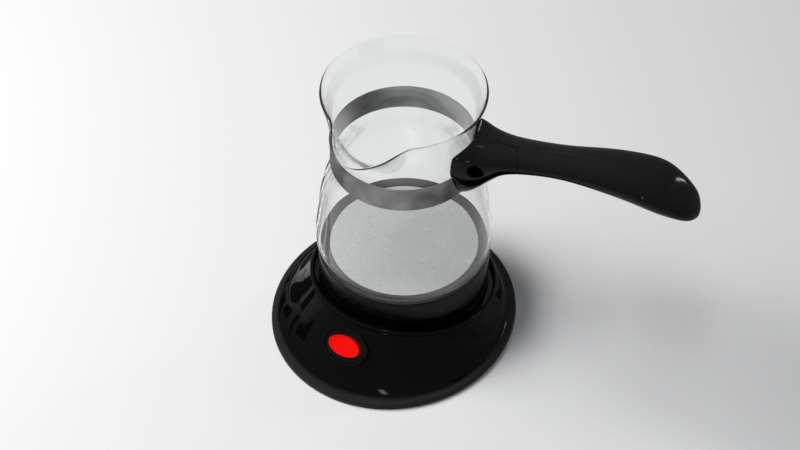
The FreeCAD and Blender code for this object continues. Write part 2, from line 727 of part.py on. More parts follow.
def make_collar_floor():
    floor = ring(SOCKET_R + LOOSE_FIT, FLOOR_R, FLOOR_Z, FLOOR_Z + FLOOR_THICK)
    for spot in collar_post_spots():
        floor = floor.cut(moved(screw_hole(COLLAR_SCREW, FLOOR_Z + FIT, COLLAR_SCREW_TIP), spot.x, spot.y))
    for spot in coupling_screw_spots():
        floor = floor.cut(moved(screw_hole(COUPLING_SCREW, FLOOR_Z + FIT, COLLAR_SCREW_TIP), spot.x, spot.y))
    return floor


def make_collar_screws():
    screw = pan_screw(COLLAR_SCREW, FLOOR_Z + FIT, COLLAR_SCREW_TIP)
    return Part.makeCompound([moved(screw, spot.x, spot.y) for spot in collar_post_spots()])


def make_coupling_screws():
    screw = pan_screw(COUPLING_SCREW, FLOOR_Z + FIT, FLOOR_Z + FLOOR_THICK + 1.6)
    return Part.makeCompound([moved(screw, spot.x, spot.y) for spot in coupling_screw_spots()])


def make_pot_connector():
    low = FLOOR_Z + FLOOR_THICK
    outer = SOCKET_R + SOCKET_WALL
    body = ring(SOCKET_R, outer, low, SOCKET_CEILING_Z).fuse(disc(outer, SOCKET_CEILING_Z, SOCKET_CEILING_Z + 2))
    body = body.fuse(ring(outer - 0.5, outer + 5.5, low, low + 1.8))
    for spot in coupling_screw_spots():
        body = body.cut(moved(disc(COUPLING_SCREW[2] + THREAD_FIT, 0, COLLAR_SCREW_TIP), spot.x, spot.y))
    return body


def make_pot_contacts():
    """Live pin, neutral ring blade and earth ring of the socket, as separate pieces of brass."""
    low = SLOT_FLOOR_Z + CONTACT_HIGH + CONTACT_GAP
    pin = disc(PIN_R, low, SOCKET_CEILING_Z)
    blade = ring(BLADE_R - BLADE_HALF, BLADE_R + BLADE_HALF, low, SOCKET_CEILING_Z)
    earth = ring(SOCKET_R - 0.65, SOCKET_R - FIT, POT_EARTH_Z, SOCKET_CEILING_Z)
    return Part.makeCompound([pin, blade, earth])


# Neck band and handle

def side_plate(outline, low, high):
    """Flat plate across Y from (x, z) corners."""
    corners = [Vector(x, low, z) for x, z in outline]
    return Part.Face(Part.makePolygon(corners + corners[:1])).extrude(Vector(0, high - low, 0))


def ear_outline(start_x, grow):
    """Corners of a clamping ear that runs from the band up to the clamping screw."""
    low = SEAT_Z + BAND_LOW + 2.0 - grow
    top = SEAT_Z + CLAMP_Z + EAR_HALF + grow
    end_x = CLAMP_X + EAR_HALF + grow
    return [
        (start_x, low), (BAND_R + 1.5 + grow, low), (end_x, top - 2 * EAR_HALF - 2 * grow),
        (end_x, top), (start_x, top),
    ]


def make_neck_band():
    low = SEAT_Z + BAND_LOW
    high = SEAT_Z + BAND_HIGH
    outer = BAND_R + BAND_SHEET
    band = ring(BAND_R, outer, low, high)
    band = band.cut(block((30, -EAR_GAP, low - 1), (50, EAR_GAP, high + 1)))
    ear = side_plate(ear_outline(outer - 0.5, 0.0), EAR_GAP, EAR_GAP + EAR_SHEET)
    ear = ear.cut(neck_room(0.3))
    band = band.fuse(ear).fuse(ear.mirror(Vector(0, 0, 0), Vector(0, 1, 0)))
    clamp_hole = rod((CLAMP_X, -20, SEAT_Z + CLAMP_Z), (CLAMP_X, 20, SEAT_Z + CLAMP_Z), CLAMP_R + FIT)
    return band.cut(clamp_hole)


def handle_section(out, half_width, top, bottom):
    """Section across the handle: a crowned flat top over a rounded belly."""
    middle = SEAT_Z + top - HANDLE_EDGE
    belly = top - HANDLE_EDGE - bottom
    points = []
    for step in range(32):
        angle = 2 * math.pi * step / 32
        across = math.cos(angle)
        rise = math.sin(angle)
        power = HANDLE_TOP_POWER if rise > 0 else HANDLE_LOW_POWER
        height = HANDLE_EDGE if rise > 0 else belly
        points.append(Vector(
            out,
            half_width * math.copysign(abs(across) ** (2 / power), across),
            middle + height * math.copysign(abs(rise) ** (2 / power), rise),
        ))
    return closed_curve(points)


def whole_handle():
    return Part.makeLoft([handle_section(*section) for section in HANDLE_SECTIONS], True)


def neck_room(gap):
    """Space of the glass neck with a gap round it, which the handle root is shaped round."""
    outline = [(0, SEAT_Z + 40)]
    for height, radius in GLASS_OUTLINE:
        if height > 40:
            outline.append((radius + gap, SEAT_Z + height))
    outline.append((0, GLASS_TOP_Z))
    return spin(outline)


def grip_side(gap):
    """Everything on the grip's side of the stepped seam."""
    low = SEAT_Z
    high = SEAT_Z + 160
    far = block((SEAM_FAR_X + gap, SEAM_STEP_Y + gap, low), (200, 60, high))
    near = block((SEAM_NEAR_X + gap, -60, low), (200, SEAM_STEP_Y + gap, high))
    return far.fuse(near)


def clamp_parts():
    """Axis ends of the clamping screw across the handle root."""
    return Vector(CLAMP_X, CLAMP_HEAD_Y, SEAT_Z + CLAMP_Z), Vector(CLAMP_X, CLAMP_NUT_Y, SEAT_Z + CLAMP_Z)


def make_handle_root():
    root = whole_handle().cut(grip_side(0.0)).cut(neck_room(NECK_GAP))
    band_room = disc(BAND_R + BAND_SHEET + 0.3, SEAT_Z + BAND_LOW - 0.6, SEAT_Z + BAND_HIGH + 0.6)
    slot_half = EAR_GAP + EAR_SHEET + LOOSE_FIT
    ear_room = side_plate(ear_outline(HANDLE_SECTIONS[0][0], 0.6), -slot_half, slot_half)
    root = root.cut(band_room).cut(ear_room).cut(tongue(0.15))
    head_end, nut_end = clamp_parts()
    axis_low = (CLAMP_X, head_end.y, head_end.z)
    axis_high = (CLAMP_X, nut_end.y, nut_end.z)
    root = root.cut(rod(axis_low, axis_high, CLAMP_R + SCREW_ROOM))
    root = root.cut(rod((CLAMP_X, -40, head_end.z), axis_low, CLAMP_RECESS_R))
    root = root.cut(rod(axis_high, (CLAMP_X, 40, nut_end.z), NUT_RECESS_R))
    screw_room = screw_hole(GRIP_SCREW, SEAT_Z + GRIP_HEAD_LOW + FIT, SEAT_Z + TONGUE_LOW)
    return root.cut(moved(screw_room, GRIP_SCREW_X, GRIP_SCREW_Y))


def make_band_screw():
    head_end, nut_end = clamp_parts()
    height = head_end.z
    screw = rod((CLAMP_X, head_end.y - CLAMP_HEAD, height), (CLAMP_X, head_end.y, height), CLAMP_HEAD_R)
    screw = screw.fuse(rod((CLAMP_X, head_end.y, height), (CLAMP_X, nut_end.y + CLAMP_TAIL, height), CLAMP_R))
    slot_floor = head_end.y - CLAMP_HEAD + CLAMP_SLOT_DEEP
    slot = block(
        (CLAMP_X - CLAMP_HEAD_R - 1, head_end.y - CLAMP_HEAD - 1, height - CLAMP_SLOT_HALF),
        (CLAMP_X + CLAMP_HEAD_R + 1, slot_floor, height + CLAMP_SLOT_HALF),
    )
    return screw.cut(slot)


def make_band_nut():
    head_end, nut_end = clamp_parts()
    corners = []
    for turn in range(7):
        angle = math.radians(60 * turn)
        corners.append(Vector(CLAMP_X + NUT_R * math.cos(angle), nut_end.y, nut_end.z + NUT_R * math.sin(angle)))
    nut = Part.Face(Part.makePolygon(corners)).extrude(Vector(0, NUT_THICK, 0))
    return nut.cut(rod((CLAMP_X, 0, nut_end.z), (CLAMP_X, 20, nut_end.z), CLAMP_R + THREAD_FIT))


def tongue(gap):
    """Tongue of the grip that laps into the root from the seam."""
    return block(
        (SEAM_FAR_X + SEAM_GAP - gap, -TONGUE_HALF - gap, SEAT_Z + TONGUE_LOW - gap),
        (SEAM_NEAR_X + 3, TONGUE_HALF + gap, SEAT_Z + TONGUE_HIGH + gap),
    )


def make_handle_grip():
    grip = whole_handle().common(grip_side(SEAM_GAP).fuse(tongue(0.0)))
    pilot = disc(GRIP_SCREW[2] + THREAD_FIT, SEAT_Z + GRIP_HEAD_LOW, SEAT_Z + TONGUE_HIGH - 1.0)
    return grip.cut(moved(pilot, GRIP_SCREW_X, GRIP_SCREW_Y))


def make_grip_screw():
    screw = pan_screw(GRIP_SCREW, SEAT_Z + GRIP_HEAD_LOW, SEAT_Z + TONGUE_HIGH - 1.5)
    return moved(screw, GRIP_SCREW_X, GRIP_SCREW_Y)


BASE_PARTS = {
    "base_shell": make_base_shell,
    "recess_tray": make_recess_tray,
    "bottom_cover": make_bottom_cover,
    "foot_ring": make_foot_ring,
    "cover_screws": make_cover_screws,
    "cord_gland": make_cord_gland,
    "base_connector": make_base_connector,
    "base_contacts": make_base_contacts,
    "switch_bezel": make_switch_bezel,
    "switch_housing": make_switch_housing,
    "switch_terminals": make_switch_terminals,
    "indicator_lamp": make_indicator_lamp,
    "button_cap": make_button_cap,
    "button_plunger": make_button_plunger,
    "button_spring": make_button_spring,
    "live_lead": make_live_lead,
    "switch_lead": make_switch_lead,
    "neutral_lead": make_neutral_lead,
    "earth_lead": make_earth_lead,
}

POT_PARTS = {
    "glass_body": make_glass_body,
    "heater_plate": make_heater_plate,
    "plate_seal": make_plate_seal,
    "heat_spreader": make_heat_spreader,
    "heating_element": make_heating_element,
    "element_pins": make_element_pins,
    "element_leads": make_element_leads,
    "thermostat": make_thermostat,
    "thermal_fuse": make_thermal_fuse,
    "collar": make_collar,
    "collar_floor": make_collar_floor,
    "collar_screws": make_collar_screws,
    "pot_connector": make_pot_connector,
    "pot_contacts": make_pot_contacts,
    "coupling_screws": make_coupling_screws,
    "neck_band": make_neck_band,
    "handle_root": make_handle_root,
    "handle_grip": make_handle_grip,
    "band_screw": make_band_screw,
    "band_nut": make_band_nut,
    "grip_screw": make_grip_screw,
}


def save(name, shape, turn):
    shape.rotate(Vector(0, 0, 0), Vector(0, 0, 1), turn)
    print(name, "valid", shape.isValid(), "solids", len(shape.Solids), "mm3", round(shape.Volume))
    shape.exportStep(os.path.join("parts", name + ".step"))


os.makedirs("parts", exist_ok=True)
for part_name, make in BASE_PARTS.items():
    save(part_name, make(), BASE_TURN)
for part_name, make in POT_PARTS.items():
    save(part_name, make(), 0.0)
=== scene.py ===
import math

import bmesh
import bpy
import numpy as np
from mathutils import Matrix, Vector


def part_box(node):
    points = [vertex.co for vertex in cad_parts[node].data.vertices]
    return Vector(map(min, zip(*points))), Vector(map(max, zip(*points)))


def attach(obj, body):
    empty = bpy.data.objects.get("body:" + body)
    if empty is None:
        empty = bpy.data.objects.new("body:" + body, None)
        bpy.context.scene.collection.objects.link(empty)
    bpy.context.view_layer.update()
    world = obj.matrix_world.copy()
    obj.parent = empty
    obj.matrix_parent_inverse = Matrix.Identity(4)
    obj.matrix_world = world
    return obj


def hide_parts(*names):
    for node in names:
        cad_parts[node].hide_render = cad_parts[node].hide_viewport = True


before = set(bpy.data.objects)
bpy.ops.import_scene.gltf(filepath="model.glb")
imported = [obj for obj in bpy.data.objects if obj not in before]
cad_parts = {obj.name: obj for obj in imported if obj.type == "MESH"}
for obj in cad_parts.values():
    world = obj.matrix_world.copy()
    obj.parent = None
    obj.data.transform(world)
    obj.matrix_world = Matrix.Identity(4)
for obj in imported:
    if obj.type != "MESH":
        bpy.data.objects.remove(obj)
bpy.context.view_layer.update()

bl_info = {
    "name": "Glass Coffee Pot",
    "version": (1, 0, 0),
    "blender": (4, 5, 0),
    "location": "View3D > Sidebar > Coffee Pot",
    "description": "Dresses a glass coffee pot and its power base around their packed frame",
    "category": "Object",
}

MM = 0.001
TINY = 1e-9
MERGE_DISTANCE = 1e-7
SHORTEST_EDGE = 1e-8
CORNER_SHARE = 0.45

# Planes and radii that the frame gives
SEAT_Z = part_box("glass_body")[0].z
GLASS_TOP_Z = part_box("glass_body")[1].z
COLLAR_LOW_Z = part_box("collar")[0].z
COLLAR_TOP_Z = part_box("collar")[1].z
COLLAR_TOP_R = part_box("collar")[1].x
BAND_LOW_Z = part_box("neck_band")[0].z
PLATE_TOP_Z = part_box("heater_plate")[1].z
PLATE_LOW_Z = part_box("heater_plate")[0].z
PLATE_FLANGE_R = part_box("heater_plate")[1].x
SEAL_LOW_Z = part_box("plate_seal")[0].z
SEAL_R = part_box("plate_seal")[1].x

# Foot of the pot: plate, seal and collar
PLATE_R = 44.4 * MM
PLATE_SHEET = 1.0 * MM
SEAL_IN_R = 44.5 * MM
SEAL_FOOT_R = 49.2 * MM
COLLAR_TAPER = 1.4 * MM
SHELF_IN_R = 42.0 * MM
SHELF_THICK = 2.5 * MM
SHELF_STEP = 0.2 * MM

# Power base, in its own frame and then turned a little under the pot
BASE_TURN = math.radians(-4.0)
BASE_HALF_WIDTH = 73.5 * MM
BASE_HALF_LENGTH = 78.0 * MM
BASE_CENTRE_Y = -12.0 * MM
FLANGE_LOW_Z = 1.0 * MM
FLANGE_TOP_Z = 4.2 * MM
FLANGE_WIDTH = 8.5 * MM
FLANGE_ROUND = 1.3 * MM
SKIRT_WALL = 2.4 * MM
SKIRT_DROP = 0.7 * SKIRT_WALL
SKIRT_HOLLOW = 0.25
INNER_SPAN = (0.02, 0.97)
OUTER_TOP = 0.955
FILLET_REACH = 7.15 * MM
FILLET_FROM = (0.22, 0.82)
FILLET_SPREAD = (math.radians(15.0), math.radians(80.0))
RIM_R = 55.8 * MM
RIM_Z = 23.6 * MM
RIM_SLOPE = 0.19
RIM_STEPS = 480
BEAD_SWEEP = (205.0, -48.0)
UNDER_OUT = (1.0, 0.96, 0.5, -0.19)
UNDER_ROUND = 0.3 * MM

# Push switch, in its own frame: X along the skirt, Y up it, Z outwards
SWITCH_AT = (0.0, -66.0 * MM, 21.3 * MM)
SWITCH_TILT = math.radians(47.0)
CAP_HALF_LONG = 10.4 * MM
CAP_HALF_SHORT = 5.9 * MM
CAP_TOP = 2.6 * MM
CAP_DISH = 0.5 * MM
CAP_SAG = 0.25 * MM
CAP_LIP = 1.2 * MM
CAP_LIP_R = 0.55 * MM
CAP_ROOF = 1.0 * MM
CAP_ROOF_SHARE = 0.6
CAP_BOTTOM = -3.7 * MM
CAP_CHAMFER = 0.2 * MM
CAP_WALL = 1.6 * MM
CAP_GAP = 0.35 * MM
SPRING_R = 3.2 * MM
SPRING_WIRE_R = 0.3 * MM
SPRING_TURNS = 5
SPRING_LOW = -6.2 * MM
SPRING_HIGH = -1.8 * MM
BEZEL_WIDTH = 4.3 * MM
BEZEL_TOP = 1.4 * MM
BEZEL_SINK = -2.6 * MM
BEZEL_FLARE = 0.4 * MM
BEZEL_CREST = 3.4 * MM
BEZEL_STEP = (2.7 * MM, -0.1 * MM)
SLEEVE_TOP = -0.6 * MM
SLEEVE_BOTTOM = -5.5 * MM
SLEEVE_WALL = 1.3 * MM
POCKET_HALF_LONG = 12.7 * MM
POCKET_HALF_SHORT = 8.2 * MM
POCKET_FLOOR = -6.1 * MM
POCKET_SKIN = 0.4 * MM
POCKET_REACH = 8.0 * MM
POCKET_EDGE = (0.93, 1.03)

# Glass: height above the seat and outer radius in millimetres, then the pouring lip
GLASS_OUTLINE = np.array([
    (0.0, 51.4), (8.0, 52.4), (18.0, 51.7), (35.0, 49.6), (52.0, 46.1), (62.0, 42.8), (68.5, 41.5),
    (76.0, 41.3), (84.5, 41.3), (95.0, 42.0), (108.5, 44.1), (121.0, 47.0),
])
GLASS_STEPS = 288
GLASS_FOOT_ROUND = (0.5 * MM, 0.6 * MM)
RIM_SHARE = 0.6
LIP_START = 95.0 * MM
LIP_REACH = 16.5 * MM
LIP_POWER = 1.7
LIP_HALF_ANGLE = math.radians(35.0)
LIP_DROP = 5.0 * MM
LIP_DIRECTION = math.radians(-90.0)

# Neck band and its two clamping ears
BAND_HIGH = 16.0 * MM
BAND_R = 41.6 * MM
HEM_PROUD = 0.25 * MM
HEM_HIGH = 0.8 * MM
BAND_STEPS = 240
EAR_SHEET = 0.9 * MM
EAR_GAP = 1.0 * MM
EAR_HALF = 4.5 * MM
EAR_RISE = 2.0 * MM
EAR_FOOT = 1.5 * MM
CLAMP_X = 51.9 * MM
CLAMP_Z = 94.7 * MM
RECESS_R = 4.2 * MM
RECESS_FLOOR = -6.0 * MM
RECESS_EDGE = (-0.1, 0.4)

# Handle sections in millimetres: distance out, half width, top and bottom above the seat
HANDLE_SECTIONS = np.array([
    (36.0, 18.4, 104.0, 64.0), (42.0, 18.0, 103.6, 65.0), (50.0, 16.2, 102.8, 72.2), (60.0, 13.8, 104.3, 84.3),
    (72.0, 12.5, 107.1, 94.2), (95.0, 12.2, 113.2, 103.0), (118.0, 14.5, 119.4, 107.0), (141.0, 16.6, 123.0, 108.0),
    (155.0, 15.7, 121.8, 106.0), (166.0, 12.2, 117.6, 104.8), (172.0, 8.2, 114.2, 104.6), (175.0, 3.0, 111.0, 106.0),
    (175.6, 0.0, 108.4, 108.4),
])
HANDLE_EDGE = 3.0
HANDLE_TOP_POWER = 3.2
HANDLE_LOW_POWER = 2.2
HANDLE_COLUMNS = 256
HANDLE_OFFSET = 1e-4
EDGE_SHARE = 0.4
NECK_GAP = 0.4
BAND_ROOM = (68.4, 85.6)
BAND_ROOM_GAP = 1.0
ROOT_MIDDLE_Z = 86.0
ROOT_INWARD = (0.05, 0.98)
ROOT_LIMIT_X = 60.0
ROOT_CORE = (60.0, 0.0, 98.0)
GRIP_CORE = (72.0, 0.0, 101.0)
GRIP_CROWDING = 0.85
SEAM_PROBE_X = 62.0
SEAM_LAG = 0.5
SEAM_PULLS = (0.08, 0.25, 3.0)
PULL_SHARE = 0.9
SEAM_FAR_X = 56.3
SEAM_NEAR_X = 69.0
SEAM_NEAR_SLANT = 0.5
SEAM_STEP_Y = 2.6

# Camera of the photograph: an 85 mm lens on a 36 mm sensor, for a picture of 800 by 450
LENS_MM = 85.0
SENSOR_MM = 36.0
VIEW_TURN = math.radians(28.0)
VIEW_ELEVATION = math.radians(47.01)
VIEW_ROLL = math.radians(0.20)
VIEW_DISTANCE = 1.1289
VIEW_SIDE = -0.0025
VIEW_RISE = 0.00815

UPWARD = (0.0, 0.0, 1.0)

# Finishes: middle of a noise's range, roughnesses, and the change from polished skirt to the textured flange, whose
# lighter colour is painted sheen
NOISE_SPAN = (0.3, 0.7)
POLISHED = 0.07
TEXTURED = 0.42
MATT = 0.9
WANDER = 0.3
TEXTURE_FROM = FLANGE_TOP_Z - 0.1 * MM
TEXTURE_TO = FLANGE_TOP_Z + 0.9 * MM

# Inner parts: finish, colour, roughness, metal, grain a metre, and the nodes that have it
MOULDED_NODES = "bottom_cover base_connector switch_housing button_plunger collar_floor pot_connector"
INNER_PARTS = (
    ("foot_rubber", (0.025, 0.025, 0.025), 0.7, 0.0, 200.0, "foot_ring cord_gland"),
    ("zinc_steel", (0.52, 0.52, 0.5), 0.35, 1.0, 300.0,
     "cover_screws element_pins thermal_fuse collar_screws coupling_screws band_screw band_nut grip_screw"),
    ("contact_brass", (0.72, 0.5, 0.2), 0.28, 1.0, 250.0, "base_contacts switch_terminals pot_contacts"),
    ("bare_aluminium", (0.7, 0.7, 0.7), 0.38, 1.0, 120.0, "heat_spreader thermostat"),
    ("element_sheath", (0.25, 0.22, 0.2), 0.5, 1.0, 150.0, "heating_element"),
    ("glass_braid", (0.72, 0.7, 0.62), 0.9, 0.0, 900.0, "element_leads"),
    ("lamp_glass", (0.85, 0.35, 0.2), 0.15, 0.0, 300.0, "indicator_lamp"),
    ("live_wire", (0.16, 0.06, 0.02), 0.45, 0.0, 400.0, "live_lead"),
    ("neutral_wire", (0.03, 0.12, 0.45), 0.45, 0.0, 400.0, "neutral_lead"),
    ("switched_wire", (0.015, 0.015, 0.015), 0.45, 0.0, 400.0, "switch_lead"),
)

# Tone of the room, the fill that it gives matt surfaces, and where the floor runs over into it
ROOM_TONE = (0.75, 0.75, 0.755, 1.0)
FILL_TONE = (0.045, 0.045, 0.046, 1.0)
FLOOR_FADE = (0.32, 1.0)

# Lamps: azimuth and elevation in degrees, distance, width, height, power and colour
WHITE = (1.0, 1.0, 1.0)
KEY_LAMP = (-160.0, 50.0, 1.5, 0.9, 0.9, 25.9, WHITE)
WINDOW_LAMP = (-78.0, 68.0, 1.8, 0.09, 0.45, 3.0, (0.86, 0.92, 1.0))
STRIP_LAMP = (62.0, 36.0, 1.8, 0.05, 0.3, 1.5, WHITE)

# Dark boards at one distance: azimuth, then elevation of foot and head, in degrees, and half width
FLAG_TONE = (0.01, 0.01, 0.01)
FLAG_DISTANCE = 1.3
FLAGS = (
    (140.0, 0.0, 36.0, 0.12), (153.0, 0.0, 20.0, 0.05), (164.0, 2.0, 40.0, 0.08), (175.0, 0.0, 14.0, 0.10),
    (187.0, 0.0, 32.0, 0.04), (198.0, 0.0, 18.0, 0.12),
)

# Dark slats on the floor, in a row along Y
SLAT_X = -0.15
SLAT_Z = 0.0004
SLAT_ROW = (-0.05, 0.14, 0.026)
SLAT_HALF_LONG = 0.065
SLAT_HALF_WIDE = 0.009


class PotSizes(bpy.types.PropertyGroup):
    """Sizes of the visible surfaces."""

    glass_wall: bpy.props.FloatProperty(
        name="Glass wall", description="Thickness of the glass", default=2.2 * MM, unit="LENGTH", precision=4)
    bead_radius: bpy.props.FloatProperty(
        name="Rim bead", description="Radius of the bead round the well", default=1.5 * MM, unit="LENGTH",
        precision=4)
    band_sheet: bpy.props.FloatProperty(
        name="Band sheet", description="Thickness of the neck band", default=0.7 * MM, unit="LENGTH", precision=4)
    collar_wall: bpy.props.FloatProperty(
        name="Collar wall", description="Thickness of the pot's foot", default=2.0 * MM, unit="LENGTH", precision=4)
    seam_gap: bpy.props.FloatProperty(
        name="Seam groove", description="Gap between handle root and grip", default=0.3 * MM, unit="LENGTH",
        precision=4)
    floor_half: bpy.props.FloatProperty(
        name="Floor", description="Half the width of the floor", default=4.0, unit="LENGTH")


class PotColours(bpy.types.PropertyGroup):
    """Colours of the finishes."""

    black: bpy.props.FloatVectorProperty(
        name="Gloss black", description="Polished black moulding", default=(0.0021, 0.0021, 0.0023), subtype="COLOR")
    # The flange's lighter black is painted sheen of the pale floor that the textured flange mirrors
    flange: bpy.props.FloatVectorProperty(
        name="Flange black", description="Fine-textured black of the base's flange", default=(0.026, 0.026, 0.0265),
        subtype="COLOR")
    inner_black: bpy.props.FloatVectorProperty(
        name="Inner black", description="Grained black moulding", default=(0.02, 0.02, 0.021), subtype="COLOR")
    red: bpy.props.FloatVectorProperty(
        name="Button red", description="Polished red moulding", default=(0.94, 0.004, 0.002), subtype="COLOR")
    steel: bpy.props.FloatVectorProperty(
        name="Band steel", description="Satin steel of the neck band", default=(0.22, 0.225, 0.22), subtype="COLOR")
    plate: bpy.props.FloatVectorProperty(
        name="Plate steel", description="Lapped steel of the heating plate", default=(0.53, 0.54, 0.535),
        subtype="COLOR")
    seal: bpy.props.FloatVectorProperty(
        name="Seal grey", description="Grey silicone of the seal", default=(0.03, 0.03, 0.03), subtype="COLOR")
    floor: bpy.props.FloatVectorProperty(
        name="Floor", description="Pale studio floor", default=(0.86, 0.86, 0.86), subtype="COLOR")


def sizes():
    return bpy.context.scene.coffee_pot_sizes


def colours():
    return bpy.context.scene.coffee_pot_colours


# Mesh helpers

def grid_faces(points, wrap_rows, wrap_columns):
    """Quads of a grid of points, as arrays of vertex numbers. A wrapped side joins its last line to its first."""
    rows, columns = points.shape[:2]
    row = np.arange(rows if wrap_rows else rows - 1)
    column = np.arange(columns if wrap_columns else columns - 1)
    row, column = np.meshgrid(row, column, indexing="ij")
    below = (row + 1) % rows
    beside = (column + 1) % columns
    corners = [row * columns + column, row * columns + beside, below * columns + beside, below * columns + column]
    return np.stack(corners, -1).reshape(-1, 4)


def add_piece(name, parts, body, material, nodes, sharp=40.0):
    """Object from one or more (points, faces) pairs, merged, facing outwards and smooth up to an edge angle."""
    points = []
    faces = []
    count = 0
    for part_points, part_faces in parts:
        flat = np.asarray(part_points, float).reshape(-1, 3)
        points.append(flat)
        faces.append(np.asarray(part_faces) + count)
        count += len(flat)
    mesh = bpy.data.meshes.new(name)
    mesh.from_pydata(np.concatenate(points).tolist(), [], [f for group in faces for f in group.tolist()])
    build = bmesh.new()
    build.from_mesh(mesh)
    bmesh.ops.remove_doubles(build, verts=build.verts, dist=MERGE_DISTANCE)
    bmesh.ops.dissolve_degenerate(build, edges=build.edges, dist=SHORTEST_EDGE)
    bmesh.ops.recalc_face_normals(build, faces=build.faces)
    build.to_mesh(mesh)
    build.free()
    mesh.shade_smooth()
    mesh.set_sharp_from_angle(angle=math.radians(sharp))
    mesh.materials.append(material)
    piece = bpy.data.objects.new(name, mesh)
    bpy.context.scene.collection.objects.link(piece)
    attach(piece, body)
    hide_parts(*nodes)
    return piece


def spun(profile, steps):
    """Closed (radius, height) profile carried once round Z: x = r cos u, y = r sin u."""
    profile = np.asarray(profile, float)
    u = np.linspace(0.0, 2 * np.pi, steps, endpoint=False)[:, None]
    points = np.stack([
        profile[:, 0] * np.cos(u), profile[:, 0] * np.sin(u), np.broadcast_to(profile[:, 1], (steps, len(profile))),
    ], -1)
    return points, grid_faces(points, True, True)


def arc(centre, radius, start, end, steps):
    """Points of a circle arc in the (radius, height) plane, angles in degrees."""
    turn = np.radians(np.linspace(start, end, steps))
    return np.stack([centre[0] + radius * np.cos(turn), centre[1] + radius * np.sin(turn)], -1)


def rounded(corners, radius, steps=6):
    """Closed profile with each corner replaced by a quadratic curve of that reach along both sides."""
    corners = np.asarray(corners, float)
    ends = []
    for shift in (1, -1):
        side = np.roll(corners, shift, 0) - corners
        length = np.linalg.norm(side, axis=1)[:, None]
        ends.append(corners + side / length * np.minimum(radius, CORNER_SHARE * length))
    start, end = ends
    t = np.linspace(0, 1, steps)[None, :, None]
    curve = (1 - t) ** 2 * start[:, None] + 2 * t * (1 - t) * corners[:, None] + t ** 2 * end[:, None]
    return curve.reshape(-1, 2)


def through(knots, values, at):
    """Smooth curve through values at knots: natural cubic spline, solved as one linear system."""
    knots = np.asarray(knots, float)
    values = np.asarray(values, float)
    gap = np.diff(knots)
    slope = np.diff(values) / gap
    size = len(knots)
    system = np.eye(size)
    inner = np.arange(1, size - 1)
    system[inner, inner - 1] = gap[:-1]
    system[inner, inner] = 2 * (gap[:-1] + gap[1:])
    system[inner, inner + 1] = gap[1:]
    right = np.zeros(size)
    right[1:-1] = 6 * np.diff(slope)
    bend = np.linalg.solve(system, right)
    k = np.clip(np.searchsorted(knots, at, side="right") - 1, 0, size - 2)
    step = at - knots[k]
    first = slope[k] - gap[k] * (2 * bend[k] + bend[k + 1]) / 6
    return values[k] + first * step + bend[k] / 2 * step ** 2 + (bend[k + 1] - bend[k]) / (6 * gap[k]) * step ** 3


def turned(points, angle):
    """Points turned about Z."""
    c = math.cos(angle)
    s = math.sin(angle)
    return points @ np.array([[c, s, 0.0], [-s, c, 0.0], [0.0, 0.0, 1.0]])


def smooth_step(low, high, x):
    """0 below low, 1 above high and t t (3 - 2 t) between."""
    t = np.clip((x - low) / (high - low), 0.0, 1.0)
    return t * t * (3 - 2 * t)


# Material helpers

def new_node(tree, kind, values=(), **settings):
    """Shader node with its settings and then, by name, the values of its sockets."""
    node = tree.nodes.new("ShaderNode" + kind)
    for name, value in settings.items():
        setattr(node, name, value)
    for socket, value in dict(values).items():
        node.inputs[socket].default_value = value
    return node


class Finish:
    """A node material with a Principled shader, built up in a few calls."""

    def __init__(self, name, colour, roughness, metallic=0.0):
        self.material = bpy.data.materials.new(name)
        self.material.use_nodes = True
        self.tree = self.material.node_tree
        self.links = self.tree.links
        self.shader = self.tree.nodes["Principled BSDF"]
        self.colour = tuple(colour)
        self.set(Base_Color=(*self.colour, 1.0), Roughness=roughness, Metallic=metallic)
        self.coords = new_node(self.tree, "TexCoord")

    def set(self, **values):
        """Sets shader sockets by name, with underscores for spaces."""
        for socket, value in values.items():
            self.shader.inputs[socket.replace("_", " ")].default_value = value
        return self

    def noise(self, scale, detail=3.0, stretch=(1.0, 1.0, 1.0)):
        """Noise on object coordinates, its scale per metre and stretched by axis."""
        mapping = new_node(self.tree, "Mapping", {"Scale": stretch})
        self.links.new(self.coords.outputs["Object"], mapping.inputs["Vector"])
        texture = new_node(self.tree, "TexNoise", {"Scale": scale, "Detail": detail})
        self.links.new(mapping.outputs["Vector"], texture.inputs["Vector"])
        return texture.outputs["Fac"]

    def spread(self, source, low, high, socket):
        """Sends a noise to a shader socket, the middle of its range mapped to low and high."""
        start, end = NOISE_SPAN
        ranged = new_node(
            self.tree, "MapRange", {"From Min": start, "From Max": end, "To Min": low, "To Max": high})
        self.links.new(source, ranged.inputs["Value"])
        self.links.new(ranged.outputs["Result"], self.shader.inputs[socket])
        return self

    def blend(self, source, span, low, high):
        """Base colour that goes from one colour to another while a value crosses a span."""
        ramp = new_node(self.tree, "ValToRGB")
        for k, colour in enumerate((low, high)):
            ramp.color_ramp.elements[k].position = span[k]
            ramp.color_ramp.elements[k].color = (*colour, 1.0)
        self.links.new(source, ramp.inputs["Fac"])
        self.links.new(ramp.outputs["Color"], self.shader.inputs["Base Color"])
        return self

    def tint(self, source, darker, lighter):
        """Colour that wanders between a darker and a lighter shade of the base colour."""
        low = [c * darker for c in self.colour]
        high = [min(c * lighter, 1.0) for c in self.colour]
        return self.blend(source, NOISE_SPAN, low, high)

    def bump(self, source, strength, distance):
        """Fine relief from a 0 to 1 value, its height in metres."""
        bump = new_node(self.tree, "Bump", {"Strength": strength, "Distance": distance})
        self.links.new(source, bump.inputs["Height"])
        self.links.new(bump.outputs["Normal"], self.shader.inputs["Normal"])
        return self


def gloss_black(name, roughness=POLISHED):
    """Polished black moulding: faint flow shading and slightly uneven polish."""
    finish = Finish(name, colours().black, roughness)
    finish.tint(finish.noise(60.0), 0.7, 1.5)
    finish.spread(finish.noise(220.0, 4.0), roughness * 0.75, roughness * 1.5, "Roughness")
    return finish.set(IOR=1.25, Specular_IOR_Level=0.3).material


